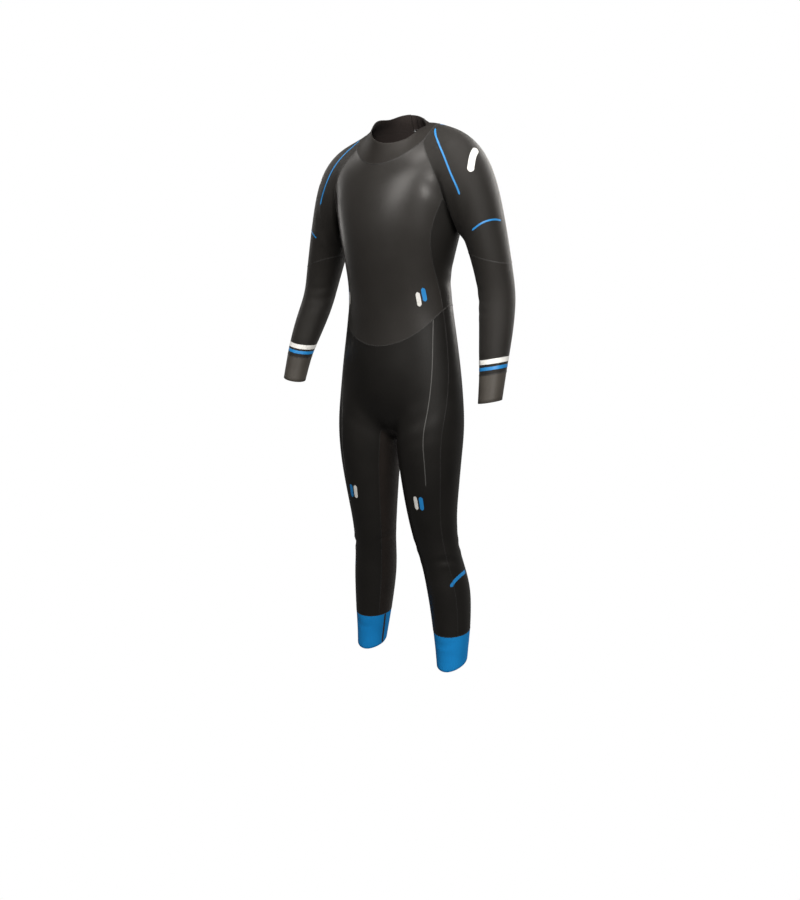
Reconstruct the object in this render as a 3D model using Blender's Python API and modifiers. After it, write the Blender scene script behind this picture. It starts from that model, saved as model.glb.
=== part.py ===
"""A triathlon wetsuit, filled out as if worn: the cut panels as thin neoprene walls, and the back zip.

Metres, +Z up, -Y is the front, +X is the wearer's left. The origin is between the shoulders at the base of the
neck, where the wearer carries the suit. Heights in the tables are above the wearer's sole.

The outer surface is one smooth form. A coarse cage of rings is read from the section tables and subdivided, and
each panel is the stretch of it between its seams, thickened toward the wearer.
"""

import math

import bmesh
import bpy
from mathutils import Matrix, Vector

SHOULDER_HEIGHT = 1.46  # height of the origin above the sole
# The shoulders' lean: how much the shape rises toward the wearer's left over its width, at these heights.
LEAN_HEIGHTS = (0.95, 1.20, 1.42, 1.50)
LEANS = (0.0, 0.05, 0.05, 0.10)
SEAM_GAP = 0.0003  # between the edges of neighbouring panels
STRAIGHT_ON = 0.98  # edges whose pulls agree this well meet without a corner
CLEARANCE = 0.0003  # between solids that lie on each other
SUBDIVISIONS = 1
SMOOTH_ANGLE = 40  # degrees; sharper edges than this stay sharp

# Wall thicknesses of the neoprene.
BODY_WALL = 0.0035
SIDE_WALL = 0.0030
LEG_WALL = 0.0030
SLEEVE_WALL = 0.0020
CUFF_WALL = 0.0018
COLLAR_WALL = 0.0020

# How many cage points go round the body, and round a sleeve or a leg.
TORSO_POINTS = 16
LIMB_POINTS = 10
LIMB_STEP = 360 / LIMB_POINTS  # degrees between a limb ring's points

# The columns of the body's rings that seams run along, counted from the middle of the front to the left.
FRONT_SEAM, SIDE, BACK_SEAM, BACK_MIDDLE = 3, 4, 5, 8


def ring_gain(count):
    """How far a ring of cage points stands out, so that its subdivided loop has the table's size."""
    return 3 / (2 + math.cos(2 * math.pi / count))


# The body's rings from the hips to the neck. The angles of the front and back seams run round from the front, and
# heights are given at the seams, at the side and at the middles. The last value is how much a ring rises toward the
# wearer's left over its width, besides the lean above.
BODY_COLUMNS = (
    "name half_width front back middle_y front_seam back_seam "
    "h_front h_front_seam h_side h_back_seam h_back lean"
).split()
BODY_SECTIONS = [
    ("hip", 0.171, 0.102, 0.118, 0.000, 72, 112, 0.860, 0.862, 0.866, 0.862, 0.855, 0),
    ("pelvis", 0.161, 0.103, 0.106, 0.000, 80, 116, 0.930, 0.962, 0.968, 0.962, 0.950, 0),
    ("belly", 0.138, 0.104, 0.084, 0.000, 82, 122, 0.990, 1.102, 1.106, 1.098, 1.070, 0),
    ("waist", 0.136, 0.103, 0.083, 0.000, 72, 124, 1.070, 1.155, 1.158, 1.152, 1.140, 0),
    ("rib", 0.149, 0.110, 0.094, 0.000, 57, 126, 1.150, 1.206, 1.192, 1.204, 1.205, 0),
    ("chest", 0.163, 0.119, 0.106, 0.000, 50, 124, 1.225, 1.278, 1.220, 1.262, 1.268, 0),
    ("armpit", 0.172, 0.121, 0.112, 0.000, 66, 117, 1.300, 1.364, 1.246, 1.336, 1.332, 0),
    ("yoke", 0.170, 0.112, 0.108, 0.000, 56, 130, 1.358, 1.402, 1.410, 1.398, 1.397, 0),
    ("base", 0.146, 0.100, 0.092, 0.000, 52, 134, 1.392, 1.434, 1.460, 1.452, 1.457, 0),
    ("neck", 0.096, 0.083, 0.078, -0.008, 64, 116, 1.414, 1.460, 1.500, 1.511, 1.508, 0),
    ("collar", 0.074, 0.075, 0.070, -0.007, 62, 118, 1.440, 1.473, 1.506, 1.512, 1.522, -0.13),
    ("rim", 0.063, 0.070, 0.067, -0.006, 60, 120, 1.464, 1.487, 1.514, 1.513, 1.537, -0.28),
]

# The left sleeve's rings from the shoulder to the wrist: where its inner and outer edges lie, how far forward or
# back its middle is, and half its depth. The right sleeve is its mirror image.
SLEEVE_COLUMNS = "name inner_x inner_h outer_x outer_h middle_y half_depth".split()
SLEEVE_SECTIONS = [
    ("shoulder", 0.174, 1.246, 0.158, 1.484, 0.008, 0.074),
    ("deltoid", 0.180, 1.238, 0.228, 1.432, 0.012, 0.066),
    ("armscye", 0.186, 1.228, 0.267, 1.302, 0.015, 0.057),
    ("bicep", 0.189, 1.218, 0.295, 1.165, 0.017, 0.050),
    ("above_elbow", 0.208, 1.162, 0.302, 1.132, 0.018, 0.045),
    ("elbow", 0.222, 1.112, 0.307, 1.104, 0.014, 0.043),
    ("below_elbow", 0.230, 1.068, 0.312, 1.073, 0.003, 0.043),
    ("forearm", 0.240, 1.022, 0.317, 1.034, -0.013, 0.040),
    ("above_wrist", 0.249, 0.980, 0.319, 0.992, -0.029, 0.036),
    ("wrist", 0.258, 0.948, 0.320, 0.960, -0.041, 0.032),
    ("cuff_end", 0.266, 0.881, 0.321, 0.892, -0.060, 0.029),
]

# The left leg's rings from under the hips to the hem. Heights are at the front, the inside, the back and outside.
LEG_COLUMNS = "name middle_x middle_y half_width half_depth h_front h_inner h_back h_outer".split()
LEG_SECTIONS = [
    ("groin", 0.090, 0.002, 0.081, 0.093, 0.778, 0.735, 0.768, 0.795),
    ("thigh", 0.0925, -0.001, 0.0750, 0.082, 0.706, 0.690, 0.700, 0.715),
    ("mid_thigh", 0.0920, 0.003, 0.0692, 0.0735, 0.640, 0.636, 0.638, 0.642),
    ("low_thigh", 0.0915, 0.009, 0.0615, 0.066, 0.575, 0.575, 0.575, 0.575),
    ("above_knee", 0.0935, 0.017, 0.0575, 0.060, 0.525, 0.525, 0.525, 0.525),
    ("knee", 0.099, 0.027, 0.0535, 0.056, 0.475, 0.475, 0.475, 0.475),
    ("below_knee", 0.107, 0.042, 0.0525, 0.057, 0.425, 0.425, 0.425, 0.425),
    ("calf", 0.116, 0.052, 0.0545, 0.060, 0.370, 0.370, 0.370, 0.370),
    ("low_calf", 0.1215, 0.056, 0.0520, 0.057, 0.315, 0.315, 0.315, 0.315),
    ("shin", 0.126, 0.056, 0.0470, 0.051, 0.240, 0.245, 0.252, 0.246),
    ("ankle", 0.128, 0.055, 0.0425, 0.046, 0.192, 0.202, 0.220, 0.204),
    ("hem", 0.130, 0.053, 0.0390, 0.043, 0.142, 0.160, 0.192, 0.164),
]

# The narrow strip under the crotch that joins the legs: its line from front to back, and half its width.
CROTCH_COLUMNS = "name y height half_width".split()
CROTCH_SECTIONS = [
    ("crotch_front", -0.050, 0.772, 0.020),
    ("crotch", 0.010, 0.752, 0.016),
    ("crotch_back", 0.066, 0.766, 0.020),
]

MIDDLE_WIDTH = 1e-5  # points nearer to the middle than this lie on it

# The back zip: a chain between two tapes, in a slot between the back panels, with its slider at the top.
ZIP_SLOT = 0.0180
ZIP_END_GAP = 0.0010
ZIP_CHAIN = 0.0046
TAPE_TOP, TAPE_BOTTOM = -0.0018, -0.0030
CHAIN_TOP, CHAIN_BOTTOM = -0.0010, -0.0034
SLIDER_SIZE = (0.0088, 0.0150, 0.0036)  # across, along and out of the back
SLIDER_BEVEL = 0.0006
SLIDER_BELOW_COLLAR = 0.016
LUG_SIZE = (0.0012, 0.0050, 0.0060)
LUG_BEVEL = 0.0003
LUG_SINK = 0.0004  # how deep the lugs reach into the slider
LUG_SPACE = 0.0050  # between the slider's two lugs
PIN_RADIUS = 0.0007
KNUCKLE_BORE = 0.0011
KNUCKLE_RADIUS = 0.0022
PULL_SIZE = (0.0090, 0.0340, 0.0016)
PULL_BEVEL = 0.0005
PULL_START = 0.0100  # from the pin to the pull's plate
PULL_NECK_FROM, PULL_NECK_TO = 0.0012, 0.0122
ROD_SEGMENTS = 20

# The flap that closes the collar over the end of the zip, laid on it.
TAB_WALL = 0.0020
TAB_LIFT = 0.0011
TAB_HALF_WIDTH = 0.034

COLOURS = {
    "smoothskin": ((0.016, 0.015, 0.015), 0.32, 0.0),
    "jersey": ((0.022, 0.019, 0.018), 0.70, 0.0),
    "grey_skin": ((0.066, 0.060, 0.055), 0.48, 0.0),
    "blue_skin": ((0.016, 0.150, 0.400), 0.45, 0.0),
    "zip_metal": ((0.050, 0.050, 0.052), 0.35, 0.9),
    "zip_tape": ((0.010, 0.010, 0.010), 0.85, 0.0),
}

# Each panel's material and wall.
PANELS = {
    "collar": ("grey_skin", COLLAR_WALL),
    "front_body": ("smoothskin", BODY_WALL),
    "back_left": ("jersey", SIDE_WALL),
    "back_right": ("jersey", SIDE_WALL),
}
for _side in ("left", "right"):
    PANELS["side_panel_" + _side] = ("smoothskin", SIDE_WALL)
    PANELS["sleeve_" + _side] = ("jersey", SLEEVE_WALL)
    PANELS["forearm_" + _side] = ("jersey", SLEEVE_WALL)
    PANELS["wrist_cuff_" + _side] = ("grey_skin", CUFF_WALL)
    PANELS["leg_front_" + _side] = ("smoothskin", LEG_WALL)
    PANELS["leg_outer_" + _side] = ("smoothskin", LEG_WALL)
    PANELS["leg_back_" + _side] = ("jersey", LEG_WALL)
    PANELS["leg_inner_" + _side] = ("jersey", LEG_WALL)
    PANELS["ankle_cuff_" + _side] = ("blue_skin", CUFF_WALL)
PANEL_NAMES = list(PANELS)


def leaned(point):
    """A cage point after the lean of the shoulders."""
    height = max(point.z + SHOULDER_HEIGHT, LEAN_HEIGHTS[0])
    return point + Vector((0, 0, point.x * blend(LEAN_HEIGHTS, LEANS, height)))


def rows(columns, sections):
    return [dict(zip(columns, section)) for section in sections]


def blend(ends, values, at):
    """The value at one place on a line that runs straight between the given ends."""
    for (a, b), (u, v) in zip(zip(ends, ends[1:]), zip(values, values[1:])):
        if at <= b:
            return u + (v - u) * (at - a) / (b - a)
    return values[-1]


def ease(middle, seam, share):
    """A height between the middle of a panel, where it runs level, and its seam."""
    return middle + (seam - middle) * (1 - math.cos(math.pi / 2 * share))


def body_ring(row):
    """The sixteen cage points of one ring of the body, from the middle of the front to the wearer's left."""
    gain = ring_gain(TORSO_POINTS)
    stops = (0, FRONT_SEAM, SIDE, BACK_SEAM, BACK_MIDDLE)
    angles = (0, row["front_seam"], (row["front_seam"] + row["back_seam"]) / 2, row["back_seam"], 180)
    front, side, back = row["h_front"], row["h_side"], row["h_back"]
    points = []
    for index in range(TORSO_POINTS):
        column = min(index, TORSO_POINTS - index)
        angle = math.radians(blend(stops, angles, column))
        depth = row["front"] if angle < math.pi / 2 else row["back"]
        across = row["half_width"] * math.sin(angle) * (1 if index <= BACK_MIDDLE else -1)
        if column <= FRONT_SEAM:
            height = ease(front, row["h_front_seam"], column / FRONT_SEAM)
        elif column == SIDE:
            height = side
        else:
            share = (BACK_MIDDLE - column) / (BACK_MIDDLE - BACK_SEAM)
            height = ease(back, row["h_back_seam"], share)
        y = row["middle_y"] - gain * depth * math.cos(angle)
        height += row["lean"] * across
        points.append(Vector((gain * across, y, height - SHOULDER_HEIGHT)))
    return points


def sleeve_ring(row, side):
    """Ten cage points round a sleeve, from its inner edge forward over the outer edge and back."""
    gain = ring_gain(LIMB_POINTS)
    inner = Vector((row["inner_x"], 0, row["inner_h"] - SHOULDER_HEIGHT))
    outer = Vector((row["outer_x"], 0, row["outer_h"] - SHOULDER_HEIGHT))
    middle = (inner + outer) / 2 + Vector((0, row["middle_y"], 0))
    points = []
    for index in range(LIMB_POINTS):
        angle = math.radians(LIMB_STEP * index)
        point = middle - (outer - inner) / 2 * gain * math.cos(angle)
        point.y -= gain * row["half_depth"] * math.sin(angle)
        point.x *= side
        points.append(point)
    return points


def leg_ring(row, side):
    """Ten cage points round a leg, from the inner front round the outside to the inner side."""
    gain = ring_gain(LIMB_POINTS)
    heights = (row["h_front"], row["h_outer"], row["h_back"], row["h_inner"], row["h_front"])
    points = []
    for index in range(LIMB_POINTS):
        turn = (LIMB_STEP * (index - 0.5)) % 360  # from the front toward the outside
        across = row["middle_x"] + gain * row["half_width"] * math.sin(math.radians(turn))
        back = row["middle_y"] - gain * row["half_depth"] * math.cos(math.radians(turn))
        height = blend((0, 90, 180, 270, 360), heights, turn)
        points.append(Vector((side * across, back, height - SHOULDER_HEIGHT)))
    return points


def body_panel(level, column):
    """The panel that the body's cage face at this ring and column belongs to."""
    side = "left" if column < BACK_MIDDLE else "right"
    place = min(column, TORSO_POINTS - 1 - column)
    if level in ("neck", "collar"):
        return "collar"
    lower = level in ("hip", "pelvis")
    if place < FRONT_SEAM:
        return "leg_front_" + side if lower else "front_body"
    if place < BACK_SEAM:
        return ("leg_outer_" if lower else "side_panel_") + side
    return ("leg_back_" if lower else "back_") + side


def leg_panel(level, index, side):
    """The panel of a leg's cage face, by the ring above it and its place round the leg."""
    if level in ("shin", "ankle"):
        return "ankle_cuff_" + side
    if index in (9, 0, 1):
        return "leg_front_" + side
    if index in (2, 3):
        return "leg_outer_" + side
    return ("leg_back_" if index in (4, 5, 6) else "leg_inner_") + side


def sleeve_panel(level, side):
    """The panel of a sleeve's cage face, by the ring above it."""
    if level in ("raglan", "shoulder", "deltoid", "armscye"):
        return "sleeve_" + side
    return ("wrist_cuff_" if level == "wrist" else "forearm_") + side


def build_cage():
    """The coarse cage of the whole suit, with each face marked with its panel."""
    mesh = bmesh.new()

    def add_ring(points):
        return [mesh.verts.new(leaned(p)) for p in points]

    def add_face(verts, panel):
        mesh.faces.new(verts).material_index = PANEL_NAMES.index(panel)

    def add_band(lower, upper, panel_of):
        count = len(lower)
        for k in range(count):
            n = (k + 1) % count
            add_face([lower[k], lower[n], upper[n], upper[k]], panel_of(k))

    body = {}
    for row in rows(BODY_COLUMNS, BODY_SECTIONS):
        points = body_ring(row)
        if row["name"] in ("yoke", "base"):  # these rings end at the sleeves
            body[row["name"]] = [
                None if k in (SIDE, TORSO_POINTS - SIDE) else mesh.verts.new(leaned(p))
                for k, p in enumerate(points)
            ]
        else:
            body[row["name"]] = add_ring(points)
    names = [row[0] for row in BODY_SECTIONS]
    sleeve_columns = (FRONT_SEAM, SIDE, TORSO_POINTS - BACK_SEAM, TORSO_POINTS - SIDE)
    for low, high in zip(names, names[1:]):
        for k in range(TORSO_POINTS):
            n = (k + 1) % TORSO_POINTS
            if low in ("armpit", "yoke", "base") and k in sleeve_columns:
                continue
            corners = [body[low][k], body[low][n], body[high][n], body[high][k]]
            add_face(corners, body_panel(low, k))

    crotch = {}
    for row in rows(CROTCH_COLUMNS, CROTCH_SECTIONS):
        height = row["height"] - SHOULDER_HEIGHT
        for side in (-1, 0, 1):
            place = Vector((side * row["half_width"], row["y"], height))
            crotch[row["name"], side] = mesh.verts.new(place)

    for side, word in ((1, "left"), (-1, "right")):

        def column(k):
            return k if side == 1 else (TORSO_POINTS - k) % TORSO_POINTS

        # The sleeve grows from the loop of seams round the arm, up to the neck.
        loop = [("armpit", 4), ("armpit", 3), ("yoke", 3), ("base", 3), ("neck", 3), ("neck", 4)]
        loop += [("neck", 5), ("base", 5), ("yoke", 5), ("armpit", 5)]
        last, level = [body[name][column(k)] for name, k in loop], "raglan"
        for row in rows(SLEEVE_COLUMNS, SLEEVE_SECTIONS):
            ring = add_ring(sleeve_ring(row, side))
            add_band(last, ring, lambda k: sleeve_panel(level, word))
            last, level = ring, row["name"]

        # The leg grows from half the hip ring and the crotch strip.
        last = [body["hip"][column(k)] for k in range(1, BACK_MIDDLE)]
        last += [crotch[name, side] for name in ("crotch_back", "crotch", "crotch_front")]
        level = "hip"
        for row in rows(LEG_COLUMNS, LEG_SECTIONS):
            ring = add_ring(leg_ring(row, side))
            add_band(last, ring, lambda k: leg_panel(level, k, word))
            last, level = ring, row["name"]

        front = [body["hip"][0], crotch["crotch_front", 0], crotch["crotch", 0]]
        back = [crotch["crotch_back", 0], body["hip"][BACK_MIDDLE]]
        outer = [body["hip"][column(1)], crotch["crotch_front", side], crotch["crotch", side]]
        outer += [crotch["crotch_back", side], body["hip"][column(BACK_MIDDLE - 1)]]
        panels = ["leg_front_", "leg_inner_", "leg_inner_", "leg_back_"]
        middle = front + back
        for k, panel in enumerate(panels):
            add_face([middle[k], outer[k], outer[k + 1], middle[k + 1]], panel + word)

    bmesh.ops.recalc_face_normals(mesh, faces=mesh.faces)
    return mesh


def smooth_surface(cage, levels):
    """The cage's subdivided surface, each face still marked with its panel."""
    data = bpy.data.meshes.new("suit_cage")
    cage.to_mesh(data)
    for name in PANEL_NAMES:
        data.materials.append(None)
    guide = bpy.data.objects.new("suit_cage", data)
    bpy.context.scene.collection.objects.link(guide)
    subdivision = guide.modifiers.new("Smooth", "SUBSURF")
    subdivision.levels = subdivision.render_levels = levels
    view = bpy.context.evaluated_depsgraph_get()
    surface = bmesh.new()
    surface.from_mesh(guide.evaluated_get(view).to_mesh())
    surface.normal_update()
    outward = surface.verts.layers.float_vector.new("outward")
    for vert in surface.verts:
        vert[outward] = vert.normal
    bpy.data.objects.remove(guide)
    return surface


def edge_inset(vert, faces, gap_of):
    """How far a panel's edge point draws back from the seam, along the surface."""
    pulls = []
    for edge in vert.link_edges:
        inside = [f for f in edge.link_faces if f in faces]
        if len(inside) != 1:
            continue
        along = (edge.other_vert(vert).co - vert.co).normalized()
        across = inside[0].normal.cross(along)
        if across.dot(inside[0].calc_center_median() - vert.co) < 0:
            across.negate()
        pulls.append((across, gap_of(edge)))
    if len(pulls) == 1:
        return pulls[0][0] * pulls[0][1]
    (u, a), (v, b) = pulls
    c = u.dot(v)
    if c > STRAIGHT_ON:
        return (u * a + v * b) / 2
    scale = 1 - c * c
    return u * ((a - b * c) / scale) + v * ((b - a * c) / scale)


def on_middle_of_back(vert):
    return abs(vert.co.x) < MIDDLE_WIDTH and vert.co.y > 0


def open_slot(surface):
    """Parts the surface down the middle of the back, from the collar's rim to the zip's end."""
    panels = [PANEL_NAMES.index(name) for name in ("collar", "back_left", "back_right")]
    slot = [
        edge
        for edge in surface.edges
        if all(on_middle_of_back(v) for v in edge.verts)
        and all(f.material_index in panels for f in edge.link_faces)
    ]
    bmesh.ops.split_edges(surface, edges=slot)


def seam_order(vert):
    return tuple(round(c, 6) for c in vert.co)


def wall_mesh(faces, outer_place, inner_place):
    """A closed wall from a stretch of the surface: an outer and an inner sheet, joined round the edge."""
    mesh = bmesh.new()
    verts = sorted({v for f in faces for v in f.verts}, key=lambda v: v.index)
    outer = {v: mesh.verts.new(outer_place(v)) for v in verts}
    inner = {v: mesh.verts.new(inner_place(v)) for v in verts}
    for face in faces:
        mesh.faces.new([outer[v] for v in face.verts])
        mesh.faces.new([inner[v] for v in reversed(face.verts)])
        for loop in face.loops:
            if sum(f in faces for f in loop.edge.link_faces) > 1:
                continue
            a, b = loop.vert, loop.link_loop_next.vert
            # The rim's diagonal runs the same way on both sides of a seam, so the rims stay parallel.
            if seam_order(a) < seam_order(b):
                triangles = [(outer[b], outer[a], inner[b]), (inner[b], outer[a], inner[a])]
            else:
                triangles = [(outer[b], outer[a], inner[a]), (outer[b], inner[a], inner[b])]
            for triangle in triangles:
                mesh.faces.new(triangle)
    bmesh.ops.recalc_face_normals(mesh, faces=mesh.faces)
    return mesh


def panel_mesh(surface, name, wall):
    """One panel, drawn back from its seams and thickened toward the wearer."""
    faces = {f for f in surface.faces if PANEL_NAMES[f.material_index] == name}
    outward = surface.verts.layers.float_vector["outward"]

    def gap_of(edge):
        slot = edge.is_boundary and all(on_middle_of_back(v) for v in edge.verts)
        return ZIP_SLOT / 2 if slot else SEAM_GAP / 2

    def outer_place(vert):
        edged = any(sum(f in faces for f in e.link_faces) == 1 for e in vert.link_edges)
        return vert.co + edge_inset(vert, faces, gap_of) if edged else vert.co

    def inner_place(vert):
        return outer_place(vert) - vert[outward] * wall

    return wall_mesh(faces, outer_place, inner_place)


def make_material(name):
    colour, roughness, metallic = COLOURS[name]
    material = bpy.data.materials.new(name)
    material.use_nodes = True
    shader = material.node_tree.nodes["Principled BSDF"]
    shader.inputs["Base Color"].default_value = (*colour, 1)
    shader.inputs["Roughness"].default_value = roughness
    shader.inputs["Metallic"].default_value = metallic
    return material


def add_object(name, mesh, material, collection, smooth=True):
    data = bpy.data.meshes.new(name)
    mesh.to_mesh(data)
    mesh.free()
    if smooth:
        data.shade_smooth()
        data.set_sharp_from_angle(angle=math.radians(SMOOTH_ANGLE))
    data.materials.append(material)
    part = bpy.data.objects.new(name, data)
    collection.objects.link(part)
    return part


def zip_line(surface):
    """Places and outward directions down the middle of the back, from the collar's seam to the zip's end."""
    panel = PANEL_NAMES.index("back_left")
    outward = surface.verts.layers.float_vector["outward"]
    line = [
        v
        for v in surface.verts
        if on_middle_of_back(v) and any(f.material_index == panel for f in v.link_faces)
    ]
    line.sort(key=lambda v: -v.co.z)
    line = [(v.co.copy(), v[outward].copy()) for v in line]
    for end, near in ((0, 1), (-1, -2)):
        place, out = line[end]
        line[end] = (place + (line[near][0] - place).normalized() * ZIP_END_GAP, out)
    return line


def strip_along(line, x_from, x_to, top, bottom):
    """A strip that follows the middle of the back, from one side to another and from one depth to another."""
    mesh = bmesh.new()
    loops = []
    for place, out in line:
        corners = [(x_from, top), (x_to, top), (x_to, bottom), (x_from, bottom)]
        loops.append([mesh.verts.new(place + Vector((x, 0, 0)) + out * d) for x, d in corners])
    for high, low in zip(loops, loops[1:]):
        for k in range(4):
            n = (k + 1) % 4
            mesh.faces.new([high[k], high[n], low[n], low[k]])
    mesh.faces.new(loops[0])
    mesh.faces.new(list(reversed(loops[-1])))
    bmesh.ops.recalc_face_normals(mesh, faces=mesh.faces)
    return mesh


def block(size, centre, bevel=0.0):
    mesh = bmesh.new()
    bmesh.ops.create_cube(mesh, size=1)
    bmesh.ops.scale(mesh, vec=size, verts=mesh.verts)
    if bevel:
        bmesh.ops.bevel(mesh, geom=mesh.edges[:], offset=bevel, segments=2, affect="EDGES", profile=0.5)
    bmesh.ops.translate(mesh, vec=centre, verts=mesh.verts)
    return mesh


def rod_across(radius, length):
    """A round rod along X, centred on the origin."""
    mesh = bmesh.new()
    bmesh.ops.create_cone(
        mesh, cap_ends=True, segments=ROD_SEGMENTS, radius1=radius, radius2=radius, depth=length
    )
    bmesh.ops.rotate(mesh, matrix=Matrix.Rotation(math.pi / 2, 3, "Y"), verts=mesh.verts)
    return mesh


def boolean(target, tool, operation):
    modifier = target.modifiers.new(operation.title(), "BOOLEAN")
    modifier.operation = operation
    modifier.object = tool
    tool.hide_render = True
    tool.display_type = "WIRE"


def add_zip(surface, materials, parts, cutters):
    line = zip_line(surface)
    top = line[0][0]
    down = (line[1][0] - top).normalized()
    half, chain = ZIP_SLOT / 2 - CLEARANCE, ZIP_CHAIN / 2
    for word, side in (("left", 1), ("right", -1)):
        strip = strip_along(line, side * (chain + CLEARANCE), side * half, TAPE_TOP, TAPE_BOTTOM)
        add_object("zip_tape_" + word, strip, materials["zip_tape"], parts)
    strip = strip_along(line, -chain, chain, CHAIN_TOP, CHAIN_BOTTOM)
    add_object("zip_chain", strip, materials["zip_tape"], parts)

    # The slider's own frame: X across, Y up along the zip, Z out of the back.
    across = Vector((-1, 0, 0))
    out = across.cross(-down)
    frame = Matrix((across, -down, out)).transposed().to_4x4()
    frame.translation = top + down * SLIDER_BELOW_COLLAR
    holder = bpy.data.objects.new("slider_place", None)
    holder.matrix_world = frame
    parts.objects.link(holder)

    width, length, height = SLIDER_SIZE
    base = CHAIN_TOP + CLEARANCE
    body = block(SLIDER_SIZE, (0, 0, base + height / 2), bevel=SLIDER_BEVEL)
    slider = add_object("zip_slider", body, materials["zip_metal"], parts)
    slider.parent = holder
    pin_height = base + height + LUG_SIZE[2] - LUG_SIZE[1] / 2
    for side in (-1, 1):
        x = side * (LUG_SPACE + LUG_SIZE[0]) / 2
        lug_height = base + height + LUG_SIZE[2] / 2 - LUG_SINK
        lug = block(LUG_SIZE, (x, 0, lug_height), bevel=LUG_BEVEL)
        tool = add_object("slider_lug_%+d" % side, lug, materials["zip_metal"], cutters)
        tool.parent = holder
        boolean(slider, tool, "UNION")
    pin = rod_across(PIN_RADIUS, LUG_SPACE + LUG_SIZE[0])
    bmesh.ops.translate(pin, vec=(0, 0, pin_height), verts=pin.verts)
    tool = add_object("slider_pin", pin, materials["zip_metal"], cutters)
    tool.parent = holder
    boolean(slider, tool, "UNION")

    # The pull tab turns on the pin: a knuckle round it and a plate that hangs down the zip.
    axle = bpy.data.objects.new("pull_axle", None)
    axle.matrix_world = frame @ Matrix.Translation((0, 0, pin_height))
    parts.objects.link(axle)
    knuckle = rod_across(KNUCKLE_RADIUS, LUG_SPACE - 2 * CLEARANCE)
    pull = add_object("zip_pull", knuckle, materials["zip_metal"], parts)
    pull.parent = axle
    neck_size = (LUG_SPACE - 2 * CLEARANCE, PULL_NECK_TO - PULL_NECK_FROM, PULL_SIZE[2])
    neck = block(neck_size, (0, -(PULL_NECK_FROM + PULL_NECK_TO) / 2, 0))
    tool = add_object("pull_neck", neck, materials["zip_metal"], cutters)
    tool.parent = axle
    boolean(pull, tool, "UNION")
    plate = block(PULL_SIZE, (0, -PULL_START - PULL_SIZE[1] / 2, 0), bevel=PULL_BEVEL)
    tool = add_object("pull_plate", plate, materials["zip_metal"], cutters)
    tool.parent = axle
    boolean(pull, tool, "UNION")
    bore = rod_across(KNUCKLE_BORE, LUG_SPACE * 2)
    tool = add_object("pull_bore", bore, materials["zip_metal"], cutters)
    tool.parent = axle
    boolean(pull, tool, "DIFFERENCE")


def add_collar_tab(surface, material, parts):
    """The flap over the collar's slot, made from the collar's own points and moved out."""
    collar = PANEL_NAMES.index("collar")
    faces = set()
    for face in surface.faces:
        middle = face.calc_center_median()
        if face.material_index == collar and middle.y > 0 and abs(middle.x) < TAB_HALF_WIDTH:
            faces.add(face)
    outward = surface.verts.layers.float_vector["outward"]

    def place(vert, lift):
        return vert.co + vert[outward] * lift

    mesh = wall_mesh(
        faces, lambda v: place(v, TAB_LIFT + TAB_WALL), lambda v: place(v, TAB_LIFT)
    )
    add_object("collar_tab", mesh, material, parts)


def main():
    for old in list(bpy.data.objects):
        bpy.data.objects.remove(old)
    parts = bpy.data.collections.new("wetsuit")
    cutters = bpy.data.collections.new("cutters")
    for collection in (parts, cutters):
        bpy.context.scene.collection.children.link(collection)
    materials = {name: make_material(name) for name in COLOURS}

    cage = build_cage()
    surface = smooth_surface(cage, SUBDIVISIONS)
    add_collar_tab(surface, materials["grey_skin"], parts)
    open_slot(surface)
    for name, (material, wall) in PANELS.items():
        add_object(name, panel_mesh(surface, name, wall), materials[material], parts)
    add_zip(surface, materials, parts, cutters)


main()
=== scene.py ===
"""The looks of a triathlon wetsuit, filled out as if worn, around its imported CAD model.

Metres, +Z up, -Y is the front, +X is the wearer's left. The origin is between the shoulders at the base of the
neck. Heights in the tables are above the wearer's sole.

The suit's outer surface is the CAD's own cage, subdivided finer. A place on it is a column and a row of the cage:
the body, each sleeve and each leg are charts of their own, and prints, creases and stitches are drawn in them.
"""

import math

import bmesh
import bpy
import numpy as np
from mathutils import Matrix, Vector, noise
from mathutils.bvhtree import BVHTree


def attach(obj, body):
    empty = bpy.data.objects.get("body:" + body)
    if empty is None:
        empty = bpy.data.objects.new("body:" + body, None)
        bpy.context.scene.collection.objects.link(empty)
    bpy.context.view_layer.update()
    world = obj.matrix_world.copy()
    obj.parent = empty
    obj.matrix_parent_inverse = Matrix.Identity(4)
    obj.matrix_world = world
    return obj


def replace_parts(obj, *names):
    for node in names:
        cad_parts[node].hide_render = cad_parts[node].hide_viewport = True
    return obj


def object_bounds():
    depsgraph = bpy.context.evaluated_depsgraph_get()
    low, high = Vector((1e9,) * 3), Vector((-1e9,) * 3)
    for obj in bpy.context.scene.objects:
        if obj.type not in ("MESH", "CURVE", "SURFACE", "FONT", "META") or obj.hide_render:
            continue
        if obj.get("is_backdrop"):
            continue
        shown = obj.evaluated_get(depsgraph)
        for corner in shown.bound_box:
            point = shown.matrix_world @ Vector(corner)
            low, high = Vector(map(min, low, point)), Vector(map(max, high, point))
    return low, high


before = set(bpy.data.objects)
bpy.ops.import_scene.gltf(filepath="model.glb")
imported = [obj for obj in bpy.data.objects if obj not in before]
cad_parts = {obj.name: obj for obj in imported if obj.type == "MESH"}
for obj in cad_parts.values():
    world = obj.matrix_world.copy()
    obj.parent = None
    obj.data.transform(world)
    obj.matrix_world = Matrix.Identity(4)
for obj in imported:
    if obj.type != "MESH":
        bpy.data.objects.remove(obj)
CAD_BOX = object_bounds()
BODY = "suit"

SHOULDER_HEIGHT = 1.46  # height of the origin above the sole
LEAN_HEIGHTS = (0.95, 1.20, 1.42, 1.50)
LEANS = (0.0, 0.05, 0.05, 0.10)
SUBDIVISIONS = 3
CELLS = 2**SUBDIVISIONS  # fine faces along one side of a cage face

# ---- the CAD's own tables

TORSO_POINTS = 16
LIMB_POINTS = 10
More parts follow.
